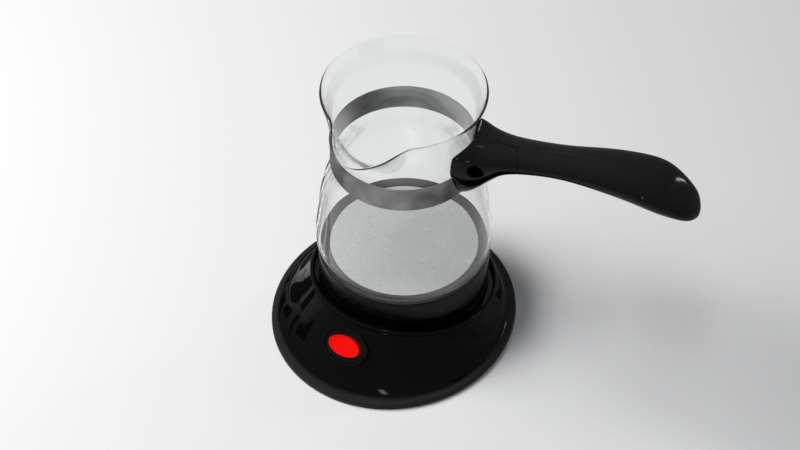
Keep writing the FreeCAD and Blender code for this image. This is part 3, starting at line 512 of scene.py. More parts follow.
def base_black():
    """Polished black skirt that changes, below the flange's height, to a finely textured black: its roughness is the
    real texture, and its lighter colour is painted sheen of the pale floor that the flange mirrors.
    """
    finish = Finish("base_black", colours().black, POLISHED)
    tree = finish.tree
    height = new_node(tree, "SeparateXYZ")
    finish.links.new(finish.coords.outputs["Object"], height.inputs["Vector"])
    span = {"From Min": TEXTURE_FROM, "From Max": TEXTURE_TO}
    share = new_node(tree, "MapRange", span, interpolation_type="SMOOTHSTEP")
    finish.links.new(height.outputs["Z"], share.inputs["Value"])
    cloud = finish.noise(60.0)
    polish = finish.noise(220.0, 4.0)
    # Flange side: textured roughness, and a lighter colour that paints in the sheen of the mirrored pale floor
    for socket, source, flange_side, polished in (
        ("Base Color", cloud, colours().flange, colours().black),
        ("Roughness", polish, (TEXTURED,) * 3, (POLISHED,) * 3),
    ):
        mix = new_node(tree, "Mix", data_type="RGBA", values={"A": (*flange_side, 1.0), "B": (*polished, 1.0)})
        finish.links.new(share.outputs["Result"], mix.inputs["Factor"])
        wander = new_node(tree, "Mix", data_type="RGBA", blend_type="MULTIPLY", values={"Factor": WANDER})
        finish.links.new(mix.outputs["Result"], wander.inputs["A"])
        finish.links.new(source, wander.inputs["B"])
        finish.links.new(wander.outputs["Result"], finish.shader.inputs[socket])
    return finish.set(IOR=1.2, Specular_IOR_Level=0.25).material


def grained_black(name):
    """Fine-grained black moulding of the hidden faces."""
    finish = Finish(name, colours().inner_black, 0.5)
    finish.tint(finish.noise(80.0), 0.7, 1.4)
    finish.spread(finish.noise(1500.0, 2.0), 0.42, 0.6, "Roughness")
    return finish.bump(finish.noise(2600.0, 2.0), 0.2, 0.0001).material


def button_red():
    """Polished red moulding with a slight depth of colour."""
    finish = Finish("button_red", colours().red, 0.25)
    finish.tint(finish.noise(120.0), 0.97, 1.03)
    finish.spread(finish.noise(700.0), 0.22, 0.32, "Roughness")
    return finish.set(Specular_IOR_Level=0.12).material


def clear_glass():
    """Clear heat-proof glass with a trace of cloud in its colour."""
    finish = Finish("clear_glass", (0.985, 0.99, 0.99), 0.0)
    finish.tint(finish.noise(25.0, 2.0), 0.985, 1.0)
    finish.set(Transmission_Weight=1.0, IOR=1.06)
    return finish.set(Coat_Weight=1.0, Coat_Roughness=0.0, Coat_IOR=1.45).material


def satin_steel():
    """Satin-rolled sheet: fine lines round the band in its roughness, and large dark and light patches painted into
    its colour as reflections.
    """
    finish = Finish("satin_steel", colours().steel, 0.26, 0.8)
    lines = finish.noise(60.0, 5.0, (1.0, 1.0, 60.0))
    # Painted reflection: large dark and light patches in the colour stand in for what the band mirrors
    finish.tint(finish.noise(36.0, 2.0), 0.2, 1.6)
    finish.spread(lines, 0.2, 0.26, "Roughness")
    return finish.material


def plate_steel():
    """Lapped heating plate: soft cloudy sheen with a very fine grain."""
    finish = Finish("plate_steel", colours().plate, 0.25, 0.35)
    finish.tint(finish.noise(30.0, 3.0), 0.97, 1.02)
    finish.spread(finish.noise(200.0, 3.0), 0.22, 0.29, "Roughness")
    return finish.material


def seal_rubber():
    """Grey silicone with a dull bloom."""
    finish = Finish("seal_rubber", colours().seal, 0.45)
    finish.tint(finish.noise(150.0, 4.0), 0.85, 1.15)
    finish.spread(finish.noise(500.0), 0.38, 0.52, "Roughness")
    return finish.bump(finish.noise(2000.0, 2.0), 0.08, 0.0001).material


def plain_part(name, colour, roughness, metallic, grain):
    """Finish of an inner part: its colour and sheen wander a little on a grain of its own."""
    finish = Finish(name, colour, roughness, metallic)
    finish.tint(finish.noise(grain, 3.0), 0.82, 1.12)
    finish.spread(finish.noise(grain * 4.0, 3.0), roughness * 0.8, min(roughness * 1.25, 1.0), "Roughness")
    return finish.bump(finish.noise(grain * 12.0, 2.0), 0.06, 0.0001).material


def earth_wire():
    """Green insulation with a yellow stripe wound round it, as waves along the wire."""
    finish = Finish("earth_wire", (0.16, 0.42, 0.05), 0.45)
    wave = new_node(finish.tree, "TexWave", {"Scale": 120.0})
    finish.links.new(finish.coords.outputs["Object"], wave.inputs["Vector"])
    finish.blend(wave.outputs["Fac"], (0.45, 0.55), (0.10, 0.38, 0.04), (0.75, 0.62, 0.03))
    return finish.spread(finish.noise(800.0), 0.38, 0.55, "Roughness").material


def dress(node, material):
    """Gives a carried-over part its finish."""
    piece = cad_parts[node]
    piece.data.materials.clear()
    piece.data.materials.append(material)


# Power base

def oval_at(u, half_x, half_y, centre_y):
    """Plan of an oval: half_x cos u, half_y sin u + centre."""
    return half_x * np.cos(u), half_y * np.sin(u) + centre_y


def skirt(u, rise, inset, drop):
    """Skirt at plan angle u: from the foot oval to the rim circle, drawn in by rise (1 + hollow (1 - rise))."""
    pull = rise * (1 + SKIRT_HOLLOW * (1 - rise))
    top_r = RIM_R + sizes().bead_radius / 2 - inset
    foot = oval_at(u, BASE_HALF_WIDTH - FLANGE_WIDTH - inset, BASE_HALF_LENGTH - FLANGE_WIDTH - inset, BASE_CENTRE_Y)
    top = oval_at(u, top_r, top_r, 0.0)
    foot_z = FLANGE_TOP_Z - drop
    top_z = RIM_Z - RIM_SLOPE * top[1] - drop
    return np.stack([
        foot[0] + pull * (top[0] - foot[0]), foot[1] + pull * (top[1] - foot[1]), foot_z + rise * (top_z - foot_z),
    ], -1)


def bead(u, turn):
    """Rim bead: a small circle, at angle turn from outwards to up, carried round the tilted rim."""
    radius = RIM_R + sizes().bead_radius * np.cos(turn)
    height = RIM_Z - RIM_SLOPE * RIM_R * np.sin(u) + sizes().bead_radius * np.sin(turn)
    return np.stack([radius * np.cos(u), radius * np.sin(u), height], -1)


def flange(u, out, height):
    """Flange at a share of its width out from the skirt's foot, at a height."""
    x, y = oval_at(
        u, BASE_HALF_WIDTH - FLANGE_WIDTH * (1 - out), BASE_HALF_LENGTH - FLANGE_WIDTH * (1 - out), BASE_CENTRE_Y)
    return np.stack([x, y, np.broadcast_to(height, np.broadcast(x, height).shape)], -1)


def fillet_start(u):
    """How far up the skirt the foot's hollow starts: low under the switch, eased to high away from it."""
    away = np.abs((u + np.pi / 2 + np.pi) % (2 * np.pi) - np.pi)
    return FILLET_FROM[0] + (FILLET_FROM[1] - FILLET_FROM[0]) * smooth_step(*FILLET_SPREAD, away)


def foot_fillet(u, share, t):
    """Hollow curve from the skirt, that far up, to the flange: a quadratic curve pulled to the skirt's foot."""
    start = skirt(u, share, 0.0, 0.0)
    corner = flange(u, 0.0, np.array(FLANGE_TOP_Z))
    end = flange(u, FILLET_REACH / FLANGE_WIDTH, np.array(FLANGE_TOP_Z))
    return (1 - t) ** 2 * start + 2 * t * (1 - t) * corner + t ** 2 * end


def switch_frame():
    """Axes of the switch as rows: along the skirt, up it and outwards."""
    c = math.cos(SWITCH_TILT)
    s = math.sin(SWITCH_TILT)
    return np.array([[1.0, 0.0, 0.0], [0.0, c, s], [0.0, -s, c]])


def switch_well(points, floor):
    """Sinks what lies inside the switch's oval to a floor: depth follows a smooth step of the oval's radius."""
    axes = switch_frame()
    local = (points - np.array(SWITCH_AT)) @ axes.T
    rho = np.hypot(local[..., 0] / POCKET_HALF_LONG, local[..., 1] / POCKET_HALF_SHORT)
    near = (np.abs(local[..., 2]) < POCKET_REACH) & (points[..., 1] < 0)
    sink = np.where(near, 1 - smooth_step(*POCKET_EDGE, rho), 0.0)
    local[..., 2] += sink * (floor - local[..., 2])
    return local @ axes + np.array(SWITCH_AT)


def base_shell_surface():
    """Closed skin round the base: up inside, over the bead, down the skirt, out over the flange and back below."""
    u = np.linspace(0, 2 * np.pi, RIM_STEPS, endpoint=False)[:, None]
    inner = skirt(u, np.linspace(*INNER_SPAN, 34)[None], SKIRT_WALL, SKIRT_DROP)
    over = bead(u, np.radians(np.linspace(*BEAD_SWEEP, 26))[None])
    start = fillet_start(u)
    outer = skirt(u, start + (OUTER_TOP - start) * np.linspace(1.0, 0.0, 46)[None], 0.0, 0.0)
    fillet = foot_fillet(u, start, np.linspace(0.0, 1.0, 32)[None, :, None])
    edge = FLANGE_ROUND / FLANGE_WIDTH
    turn = np.radians(np.linspace(90.0, 0.0, 9))[None]
    rim = flange(u, 1 - edge + edge * np.cos(turn), FLANGE_TOP_Z - FLANGE_ROUND * (1 - np.sin(turn)))
    under = flange(u, np.array([UNDER_OUT]), np.array([[UNDER_ROUND, 0.0, 0.0, 0.0]]) + FLANGE_LOW_Z)
    inner = switch_well(inner, POCKET_FLOOR - POCKET_SKIN)
    outer = switch_well(outer, POCKET_FLOOR)
    points = np.concatenate([inner, over, outer, fillet[:, 1:], rim, under], 1)
    return turned(points, BASE_TURN), grid_faces(points, True, True)


def on_switch(points):
    """Points from the switch's own frame to its place on the base."""
    return turned(points @ switch_frame() + np.array(SWITCH_AT), BASE_TURN)


def oval_rings(half_long, half_short, height, steps):
    """One ring a profile point in the switch's frame: half_long cos u, half_short sin u, at its height."""
    u = np.linspace(0, 2 * np.pi, steps, endpoint=False)[:, None]
    rings = np.stack([
        half_long * np.cos(u), half_short * np.sin(u), np.broadcast_to(height, (steps, len(height))),
    ], -1)
    return on_switch(rings)


def bezel_surface():
    """Closed ring round the button: sleeve inside, a shallow step and a rounded rim outside."""
    profile = rounded([
        (0.0, SLEEVE_BOTTOM), (0.0, SLEEVE_TOP), BEZEL_STEP, (BEZEL_CREST, BEZEL_TOP), (BEZEL_WIDTH, BEZEL_TOP),
        (BEZEL_WIDTH + BEZEL_FLARE, BEZEL_SINK), (SLEEVE_WALL, BEZEL_SINK), (SLEEVE_WALL, SLEEVE_BOTTOM),
    ], radius=0.7 * MM)
    half_long = CAP_HALF_LONG + CAP_GAP + profile[:, 0]
    half_short = CAP_HALF_SHORT + CAP_GAP + profile[:, 0]
    points = oval_rings(half_long, half_short, profile[:, 1], steps=160)
    return points, grid_faces(points, True, True)


def cap_surface():
    """Push cap: a dished face inside a raised lip, straight sides and a hollow below, closed at both centres."""
    lip = arc((CAP_LIP_R, CAP_TOP - CAP_LIP_R), CAP_LIP_R, 0.0, 180.0, 12) * [-1, 1] + [2 * CAP_LIP_R, 0]
    face = np.linspace(CAP_LIP, CAP_HALF_SHORT, 14)
    dish = CAP_TOP - CAP_DISH - CAP_SAG * smooth_step(CAP_LIP, CAP_HALF_SHORT, face)
    top = np.concatenate([np.stack([face[::-1], dish[::-1]], -1), lip[::-1]])
    side = np.array([(0.0, CAP_BOTTOM + CAP_CHAMFER), (CAP_CHAMFER, CAP_BOTTOM), (CAP_WALL, CAP_BOTTOM)])
    roof = np.array([(CAP_WALL, CAP_ROOF), (CAP_HALF_SHORT * CAP_ROOF_SHARE, CAP_ROOF), (CAP_HALF_SHORT, CAP_ROOF)])
    profile = np.concatenate([top, side, roof])
    shrink = np.clip((CAP_HALF_SHORT - profile[:, 0]) / (CAP_HALF_SHORT - CAP_WALL), 0.0, 1.0)
    deep = profile[:, 0] > CAP_WALL
    half_long = np.where(deep, (CAP_HALF_LONG - CAP_WALL) * shrink, CAP_HALF_LONG - profile[:, 0])
    half_short = np.where(deep, (CAP_HALF_SHORT - CAP_WALL) * shrink, CAP_HALF_SHORT - profile[:, 0])
    points = oval_rings(half_long, half_short, profile[:, 1], steps=144)
    return points, grid_faces(points, True, False)


def spring_surface():
    """Button spring at the height it is pressed to: a round wire carried along a helix, closed at both ends."""
    turn = np.linspace(0.0, 2 * np.pi * SPRING_TURNS, 32 * SPRING_TURNS)[:, None]
    ring = np.linspace(0.0, 2 * np.pi, 10, endpoint=False)[None]
    wire = np.full_like(turn, SPRING_WIRE_R)
    wire[[0, -1]] = TINY
    radius = SPRING_R + wire * np.cos(ring)
    height = SPRING_LOW + (SPRING_HIGH - SPRING_LOW) * turn / turn[-1] + wire * np.sin(ring)
    points = on_switch(np.stack([radius * np.cos(turn), radius * np.sin(turn), height], -1))
    return points, grid_faces(points, False, True)


# Pot

def glass_radius(height):
    """Outer radius of the glass at a height above the seat, smooth through its outline."""
    return through(GLASS_OUTLINE[:, 0], GLASS_OUTLINE[:, 1], np.asarray(height) / MM) * MM


def glass_surface():
    """Glass wall as a closed skin: outside up, round the fire-polished rim, inside down and across the foot.
    Near the rim it is drawn out and down into the lip by a squared cosine of the angle from the lip."""
    wall = sizes().glass_wall
    top = GLASS_TOP_Z - SEAT_Z
    rim_r = wall * RIM_SHARE / 2
    across, rise = GLASS_FOOT_ROUND
    up = np.linspace(rise, top - rim_r, 64)
    outside = np.stack([glass_radius(up), up], -1)
    rim = arc((outside[-1, 0] - rim_r, up[-1]), rim_r, 0.0, 180.0, 13)[1:-1]
    thick = wall * (1 - (1 - RIM_SHARE) * smooth_step(LIP_START / 2, up[-1], up))
    inside = np.stack([outside[:, 0] - thick, up], -1)[::-1]
    foot = np.array([(outside[0, 0] - wall + across, 0.0), (outside[0, 0] - across, 0.0)])
    profile = np.concatenate([outside, rim, inside, foot])
    u = np.linspace(0, 2 * np.pi, GLASS_STEPS, endpoint=False)[:, None]
    off = (u - LIP_DIRECTION + np.pi) % (2 * np.pi) - np.pi
    swell = np.where(np.abs(off) < LIP_HALF_ANGLE, np.cos(np.pi / 2 * off / LIP_HALF_ANGLE) ** 2, 0.0)
    share = np.clip((profile[:, 1] - LIP_START) / (top - LIP_START), 0.0, None)
    radius = profile[:, 0] + LIP_REACH * share ** LIP_POWER * swell
    height = SEAT_Z + profile[:, 1] - LIP_DROP * share ** 2 * swell
    points = np.stack([radius * np.cos(u), radius * np.sin(u), height], -1)
    return points, grid_faces(points, True, True)


def plate_surface():
    """Pressed plate: flat disc, rolled shoulder, short skirt and an outward flange, as one closed skin."""
    inner = PLATE_R - PLATE_SHEET
    profile = rounded([
        (TINY, PLATE_TOP_Z - PLATE_SHEET), (inner, PLATE_TOP_Z - PLATE_SHEET), (inner, PLATE_LOW_Z),
        (PLATE_FLANGE_R, PLATE_LOW_Z), (PLATE_FLANGE_R, PLATE_LOW_Z + PLATE_SHEET),
        (PLATE_R, PLATE_LOW_Z + PLATE_SHEET), (PLATE_R, PLATE_TOP_Z), (TINY, PLATE_TOP_Z),
    ], radius=0.45 * MM)
    return spun(np.maximum(profile, [TINY, 0.0]), steps=192)


def seal_surface():
    """Seal ring with its lip over the collar, edges rounded."""
    profile = rounded([
        (SEAL_IN_R, SEAL_LOW_Z), (SEAL_FOOT_R, SEAL_LOW_Z), (SEAL_FOOT_R, COLLAR_TOP_Z), (SEAL_R, COLLAR_TOP_Z),
        (SEAL_R, SEAT_Z), (SEAL_IN_R, SEAT_Z),
    ], radius=0.35 * MM)
    return spun(profile, steps=192)


def collar_surface():
    """Tapered foot of the pot with a rounded top edge and the shelf that carries the plate."""
    wall = sizes().collar_wall
    low_r = COLLAR_TOP_R - COLLAR_TAPER
    shelf_top = PLATE_LOW_Z
    shelf_low = shelf_top - SHELF_THICK
    profile = rounded([
        (low_r - wall, COLLAR_LOW_Z), (low_r, COLLAR_LOW_Z), (COLLAR_TOP_R, COLLAR_TOP_Z),
        (COLLAR_TOP_R - wall, COLLAR_TOP_Z), (COLLAR_TOP_R - wall, shelf_top), (SHELF_IN_R, shelf_top),
        (SHELF_IN_R, shelf_low), (COLLAR_TOP_R - wall - SHELF_STEP, shelf_low),
    ], radius=0.6 * MM)
    return spun(profile, steps=256)


def band_surfaces():
    """Open ring of rolled sheet with a narrow hem along both edges, and two flat ears up to the clamping screw."""
    face = BAND_R + sizes().band_sheet
    hem = face + HEM_PROUD
    band_top = BAND_LOW_Z + BAND_HIGH
    profile = rounded([
        (BAND_R, BAND_LOW_Z), (hem, BAND_LOW_Z), (hem, BAND_LOW_Z + HEM_HIGH),
        (face, BAND_LOW_Z + HEM_HIGH + HEM_PROUD), (face, band_top - HEM_HIGH - HEM_PROUD),
        (hem, band_top - HEM_HIGH), (hem, band_top), (BAND_R, band_top),
    ], radius=0.4 * MM)
    gap = EAR_GAP / BAND_R
    u = np.linspace(gap, 2 * np.pi - gap, BAND_STEPS)[:, None]
    turn = np.concatenate([u[:1], u, u[-1:]])
    middle = np.broadcast_to(profile.mean(0), (1,) + profile.shape)
    rings = np.concatenate([middle, np.broadcast_to(profile, (BAND_STEPS,) + profile.shape), middle])
    ring = np.stack([rings[..., 0] * np.cos(turn), rings[..., 0] * np.sin(turn), rings[..., 1]], -1)
    surfaces = [(ring, grid_faces(ring, False, True))]
    low = BAND_LOW_Z + EAR_RISE
    top = SEAT_Z + CLAMP_Z + EAR_HALF
    end_x = CLAMP_X + EAR_HALF
    outline = rounded([
        (face, low), (BAND_R + EAR_FOOT, low), (end_x, top - 2 * EAR_HALF), (end_x, top), (CLAMP_X - EAR_HALF, top),
        (face, band_top),
    ], radius=1.5 * MM)
    centre = np.broadcast_to(outline.mean(0), outline.shape)
    loops = np.stack([centre, outline, outline, centre])
    for side in (-1.0, 1.0):
        across = side * np.array([EAR_GAP, EAR_GAP, EAR_GAP + EAR_SHEET, EAR_GAP + EAR_SHEET])[:, None]
        ear = np.stack([loops[..., 0], np.broadcast_to(across, loops.shape[:2]), loops[..., 1]], -1)
        surfaces.append((ear, grid_faces(ear, False, True)))
    return surfaces


# Handle

def handle_at(t, theta):
    """Handle at a place t along its sections and an angle theta round it, in millimetres above the seat:
    half width times cos to a power, and from the widest line up to the top or down to the belly by sin to a power."""
    knots = np.arange(len(HANDLE_SECTIONS))
    out, half, top, bottom = [through(knots, HANDLE_SECTIONS[:, k], t) for k in range(4)]
    half = np.maximum(half, 0.0)
    edge = np.minimum(HANDLE_EDGE, EDGE_SHARE * np.maximum(top - bottom, 0.0))
    across = np.cos(theta)
    rise = np.sin(theta)
    power = np.where(rise > 0, HANDLE_TOP_POWER, HANDLE_LOW_POWER)
    depth = np.where(rise > 0, edge, np.maximum(top - edge - bottom, 0.0))
    y = half * np.sign(across) * np.abs(across) ** (2 / power)
    z = top - edge + depth * np.sign(rise) * np.abs(rise) ** (2 / power)
    return np.stack([np.broadcast_to(out, y.shape), y, z], -1)


def place_of(distance):
    """Place along the sections where the handle is that far out."""
    t = np.linspace(0, len(HANDLE_SECTIONS) - 1, 2000)
    return np.interp(distance, through(np.arange(len(HANDLE_SECTIONS)), HANDLE_SECTIONS[:, 0], t), t)


def neck_room(height):
    """Radius that the handle keeps clear of at a height: the glass with a gap, or the band."""
    glass = glass_radius(np.clip(height, *GLASS_OUTLINE[[0, -1], 0]) * MM) / MM + NECK_GAP
    band = (height > BAND_ROOM[0]) & (height < BAND_ROOM[1])
    return np.where(band, BAND_R / MM + BAND_ROOM_GAP, glass)


def neck_reach(points):
    """How far points stand out of the neck's room."""
    return np.hypot(points[..., 0], points[..., 1]) - neck_room(points[..., 2])


def neck_places(theta):
    """Where each line along the handle leaves the neck, found by halving an interval on all lines at once."""
    low = np.zeros_like(theta)
    high = np.full_like(theta, place_of(ROOT_LIMIT_X))
    for _ in range(40):
        middle = (low + high) / 2
        outside = neck_reach(handle_at(middle, theta)) > 0
        low = np.where(outside, low, middle)
        high = np.where(outside, middle, high)
    return high


def handle_angles():
    """Even angles round the handle, a trace off its widest lines."""
    return np.linspace(0, 2 * np.pi, HANDLE_COLUMNS, endpoint=False) + HANDLE_OFFSET


def seam_distance(theta, lag):
    """How far out the stepped seam lies on each line along the handle."""
    y = handle_at(place_of(SEAM_PROBE_X), theta)[:, 1]
    near = SEAM_NEAR_X + SEAM_NEAR_SLANT * np.clip(-y, 0.0, None)
    return np.where(y > SEAM_STEP_Y + lag, SEAM_FAR_X, near)


def to_world(points):
    """Millimetres above the seat to the frame's metres."""
    return points * MM + np.array([0.0, 0.0, SEAT_Z])


def pulled_in(ring, centre, amount):
    """Ring moved that far towards a centre, across the handle."""
    offset = ring - centre
    offset[..., 0] = 0.0
    length = np.maximum(np.linalg.norm(offset, axis=-1, keepdims=True), 1e-6)
    return ring - offset / length * np.minimum(amount, PULL_SHARE * length)


def clamp_recess(points):
    """Round recess for the clamping screw, sunk across the root from its near side."""
    reach = np.hypot(points[..., 0] - CLAMP_X / MM, points[..., 2] - CLAMP_Z / MM)
    floor = RECESS_FLOOR / MM
    inner, outer = [RECESS_R / MM + off for off in RECESS_EDGE]
    sunk = (points[..., 1] < floor) & (reach < outer)
    share = 1 - smooth_step(inner, outer, reach)
    points[..., 1] = np.where(sunk, points[..., 1] + share * (floor - points[..., 1]), points[..., 1])
    return points


def root_surface():
    """Handle root: from the neck's surface to the stepped seam, closed against the neck and inside the seam."""
    theta = handle_angles()
    start = neck_places(theta)
    end = place_of(seam_distance(theta, 0.0))
    s = np.linspace(0, 1, 120)[:, None]
    skin = clamp_recess(handle_at(start + (end - start) * s, theta[None]))
    inward = np.linspace(*ROOT_INWARD, 12)[:, None]
    ring = skin[0]
    y = ring[:, 1] * inward
    z = ROOT_MIDDLE_Z + (ring[:, 2] - ROOT_MIDDLE_Z) * inward
    back = np.stack([np.sqrt(np.maximum(neck_room(z) ** 2 - y ** 2, 1.0)), y, z], -1)
    hub = np.broadcast_to(back[0].mean(0), (1,) + ring.shape)
    centre = skin[-1].mean(0)
    seam = [pulled_in(skin[-1:], centre, pull) for pull in SEAM_PULLS]
    core = np.broadcast_to(ROOT_CORE, (1,) + ring.shape)
    points = np.concatenate([hub, back, skin[:-1], *seam, core])
    return to_world(points), grid_faces(points, False, True)


def grip_surface():
    """Grip: from the stepped seam, a groove away from the root, to the rounded tip."""
    theta = handle_angles()
    start = place_of(seam_distance(theta, SEAM_LAG) + sizes().seam_gap / MM)
    last = len(HANDLE_SECTIONS) - 1.0
    s = np.linspace(0, 1, 200)[:, None] ** GRIP_CROWDING
    skin = handle_at(start + (last - start) * s, theta[None])
    centre = skin[0].mean(0)
    seam = [pulled_in(skin[:1], centre, pull) for pull in reversed(SEAM_PULLS)]
    core = np.broadcast_to(GRIP_CORE, (1,) + skin[0].shape)
    points = np.concatenate([core, *seam, skin[1:]])
    return to_world(points), grid_faces(points, False, True)


# Operators

class POT_OT_power_base(bpy.types.Operator):
    """Skin of the power base and the lining of its well"""

    bl_idname = "coffee_pot.power_base"
    bl_label = "Power base"

    def execute(self, context):
        add_piece("base_skin", [base_shell_surface()], "base", base_black(), ["base_shell"], 55.0)
        dress("recess_tray", gloss_black("well_black"))
        return {"FINISHED"}


class POT_OT_switch(bpy.types.Operator):
    """Oval push switch: bezel on the base and red cap on the button"""

    bl_idname = "coffee_pot.switch"
    bl_label = "Push switch"

    def execute(self, context):
        black = gloss_black("bezel_black", 0.3)
        add_piece("bezel_ring", [bezel_surface()], "base", black, ["switch_bezel"])
        cap = add_piece("red_cap", [cap_surface()], "button", button_red(), ["button_cap"])
        cap.visible_glossy = False
        wire = plain_part("spring_wire", (0.5, 0.5, 0.52), 0.3, 1.0, 500.0)
        add_piece("button_coil", [spring_surface()], "base", wire, ["button_spring"])
        return {"FINISHED"}


class POT_OT_glass(bpy.types.Operator):
    """Glass of the pot with its pouring lip"""

    bl_idname = "coffee_pot.glass"
    bl_label = "Glass"

    def execute(self, context):
        glass = add_piece("glass_wall", [glass_surface()], "pot", clear_glass(), ["glass_body"], 60.0)
        glass.visible_shadow = False
        glass.visible_diffuse = False
        return {"FINISHED"}


class POT_OT_foot(bpy.types.Operator):
    """Heating plate, seal and collar in the foot of the pot"""

    bl_idname = "coffee_pot.foot"
    bl_label = "Heater foot"

    def execute(self, context):
        add_piece("heating_disc", [plate_surface()], "pot", plate_steel(), ["heater_plate"])
        add_piece("seal_ring", [seal_surface()], "pot", seal_rubber(), ["plate_seal"])
        black = gloss_black("collar_black", 0.16)
        add_piece("foot_collar", [collar_surface()], "pot", black, ["collar"])
        return {"FINISHED"}


class POT_OT_band(bpy.types.Operator):
    """Satin steel band round the neck"""

    bl_idname = "coffee_pot.band"
    bl_label = "Neck band"

    def execute(self, context):
        add_piece("steel_band", band_surfaces(), "pot", satin_steel(), ["neck_band"])
        return {"FINISHED"}


class POT_OT_handle(bpy.types.Operator):
    """Root and grip of the handle"""

    bl_idname = "coffee_pot.handle"
    bl_label = "Handle"

    def execute(self, context):
        black = gloss_black("handle_black")
        add_piece("root_moulding", [root_surface()], "pot", black, ["handle_root"], 50.0)
        add_piece("grip_moulding", [grip_surface()], "pot", black, ["handle_grip"], 50.0)
        return {"FINISHED"}


class POT_OT_inner_parts(bpy.types.Operator):
    """Finishes of the parts below and inside, which keep their own shapes"""

    bl_idname = "coffee_pot.inner_parts"
    bl_label = "Inner parts"

    def execute(self, context):
        groups = [(grained_black("inner_black"), MOULDED_NODES)]
        groups += [(plain_part(*look), names) for *look, names in INNER_PARTS]
        groups.append((earth_wire(), "earth_lead"))
        for material, names in groups:
            for name in names.split():
                dress(name, material)
        return {"FINISHED"}


# Stage

def flat_card(name, centre, normal, half_wide, half_high, material):
    """Rectangle square to a direction, standing upright where it can."""
    normal = Vector(normal).normalized()
    side = Vector(UPWARD).cross(normal)
    side = side.normalized() if side.length > 1e-6 else Vector((1, 0, 0))
    upward = normal.cross(side)
    corners = [
        Vector(centre) + side * (a * half_wide) + upward * (b * half_high)
        for a, b in ((-1, -1), (1, -1), (1, 1), (-1, 1))
    ]
    mesh = bpy.data.meshes.new(name)
    mesh.from_pydata([tuple(c) for c in corners], [], [(0, 1, 2, 3)])
    mesh.materials.append(material)
    card = bpy.data.objects.new(name, mesh)
    bpy.context.scene.collection.objects.link(card)
    return card


def around(azimuth, elevation, distance):
    """Point round the pot's middle, azimuth counted from +X towards +Y, in degrees."""
    a = math.radians(azimuth)
    e = math.radians(elevation)
    return (
        distance * math.cos(e) * math.cos(a), distance * math.cos(e) * math.sin(a),
        SEAT_Z + distance * math.sin(e),
    )


def area_lamp(name, azimuth, elevation, distance, wide, high, power, colour):
    """Soft rectangular lamp aimed at the pot's seat, not seen through glass."""
    lamp = bpy.data.lights.new(name, "AREA")
    lamp.shape = "RECTANGLE"
    lamp.size = wide
    lamp.size_y = high
    lamp.energy = power
    lamp.color = colour
    holder = bpy.data.objects.new(name, lamp)
    holder.visible_transmission = False
    place = Vector(around(azimuth, elevation, distance))
    aim = Vector((0.0, 0.0, SEAT_Z))
    holder.matrix_world = Matrix.Translation(place) @ (place - aim).to_track_quat("Z", "Y").to_matrix().to_4x4()
    bpy.context.scene.collection.objects.link(holder)
    return holder


def seen_rays(tree):
    """Socket that is 1 for what the eye sees, straight, mirrored or through glass."""
    path = new_node(tree, "LightPath")
    seen = path.outputs["Is Camera Ray"]
    for ray in ("Is Glossy Ray", "Is Transmission Ray"):
        total = new_node(tree, "Math", operation="MAXIMUM")
        tree.links.new(seen, total.inputs[0])
        tree.links.new(path.outputs[ray], total.inputs[1])
        seen = total.outputs["Value"]
    return seen


def floor_material():
    """Plain pale matt floor, which far from the pot runs over into the tone of the room."""
    finish = Finish("studio_floor", colours().floor, MATT).set(Specular_IOR_Level=0.0)
    tree = finish.tree
    reach = new_node(tree, "VectorMath", operation="LENGTH")
    span = {"From Min": FLOOR_FADE[0], "From Max": FLOOR_FADE[1]}
    far = new_node(tree, "MapRange", span, interpolation_type="SMOOTHSTEP")
    share = new_node(tree, "Math", operation="MULTIPLY")
    room = new_node(tree, "Emission", {"Color": ROOM_TONE})
    mix = new_node(tree, "MixShader")
    for source, target in (
        (finish.coords.outputs["Object"], reach.inputs[0]), (reach.outputs["Value"], far.inputs["Value"]),
        (far.outputs["Result"], share.inputs[0]), (seen_rays(tree), share.inputs[1]),
        (share.outputs["Value"], mix.inputs["Fac"]), (finish.shader.outputs["BSDF"], mix.inputs[1]),
        (room.outputs["Emission"], mix.inputs[2]),
        (mix.outputs["Shader"], tree.nodes["Material Output"].inputs["Surface"]),
    ):
        tree.links.new(source, target)
    return finish.material


def studio_world():
    """Pale room to the eye, in metal and through glass, and a dim fill for matt surfaces."""
    world = bpy.data.worlds.new("studio")
    world.use_nodes = True
    tree = world.node_tree
    mix = new_node(tree, "Mix", data_type="RGBA", values={"A": FILL_TONE, "B": ROOM_TONE})
    tree.links.new(seen_rays(tree), mix.inputs["Factor"])
    tree.links.new(mix.outputs["Result"], tree.nodes["Background"].inputs["Color"])
    bpy.context.scene.world = world


def mirrored_only(card):
    """Hides a card from all but polished surfaces."""
    card.visible_camera = False
    card.visible_diffuse = False
    card.visible_transmission = False
    card.visible_shadow = False


def studio_flags(material):
    """Dark upright boards and flat slats at the left of the room, which only polished parts mirror."""
    for azimuth, foot, head, half in FLAGS:
        middle = around(azimuth, (foot + head) / 2, FLAG_DISTANCE)
        half_high = FLAG_DISTANCE * math.radians(head - foot) / 2
        facing = (-middle[0], -middle[1], 0.0)
        mirrored_only(flat_card(f"flag_{azimuth:.0f}", middle, facing, half, half_high, material))
    for y in np.arange(*SLAT_ROW):
        middle = (SLAT_X, y, SLAT_Z)
        mirrored_only(flat_card(f"slat_{y:.3f}", middle, UPWARD, SLAT_HALF_LONG, SLAT_HALF_WIDE, material))


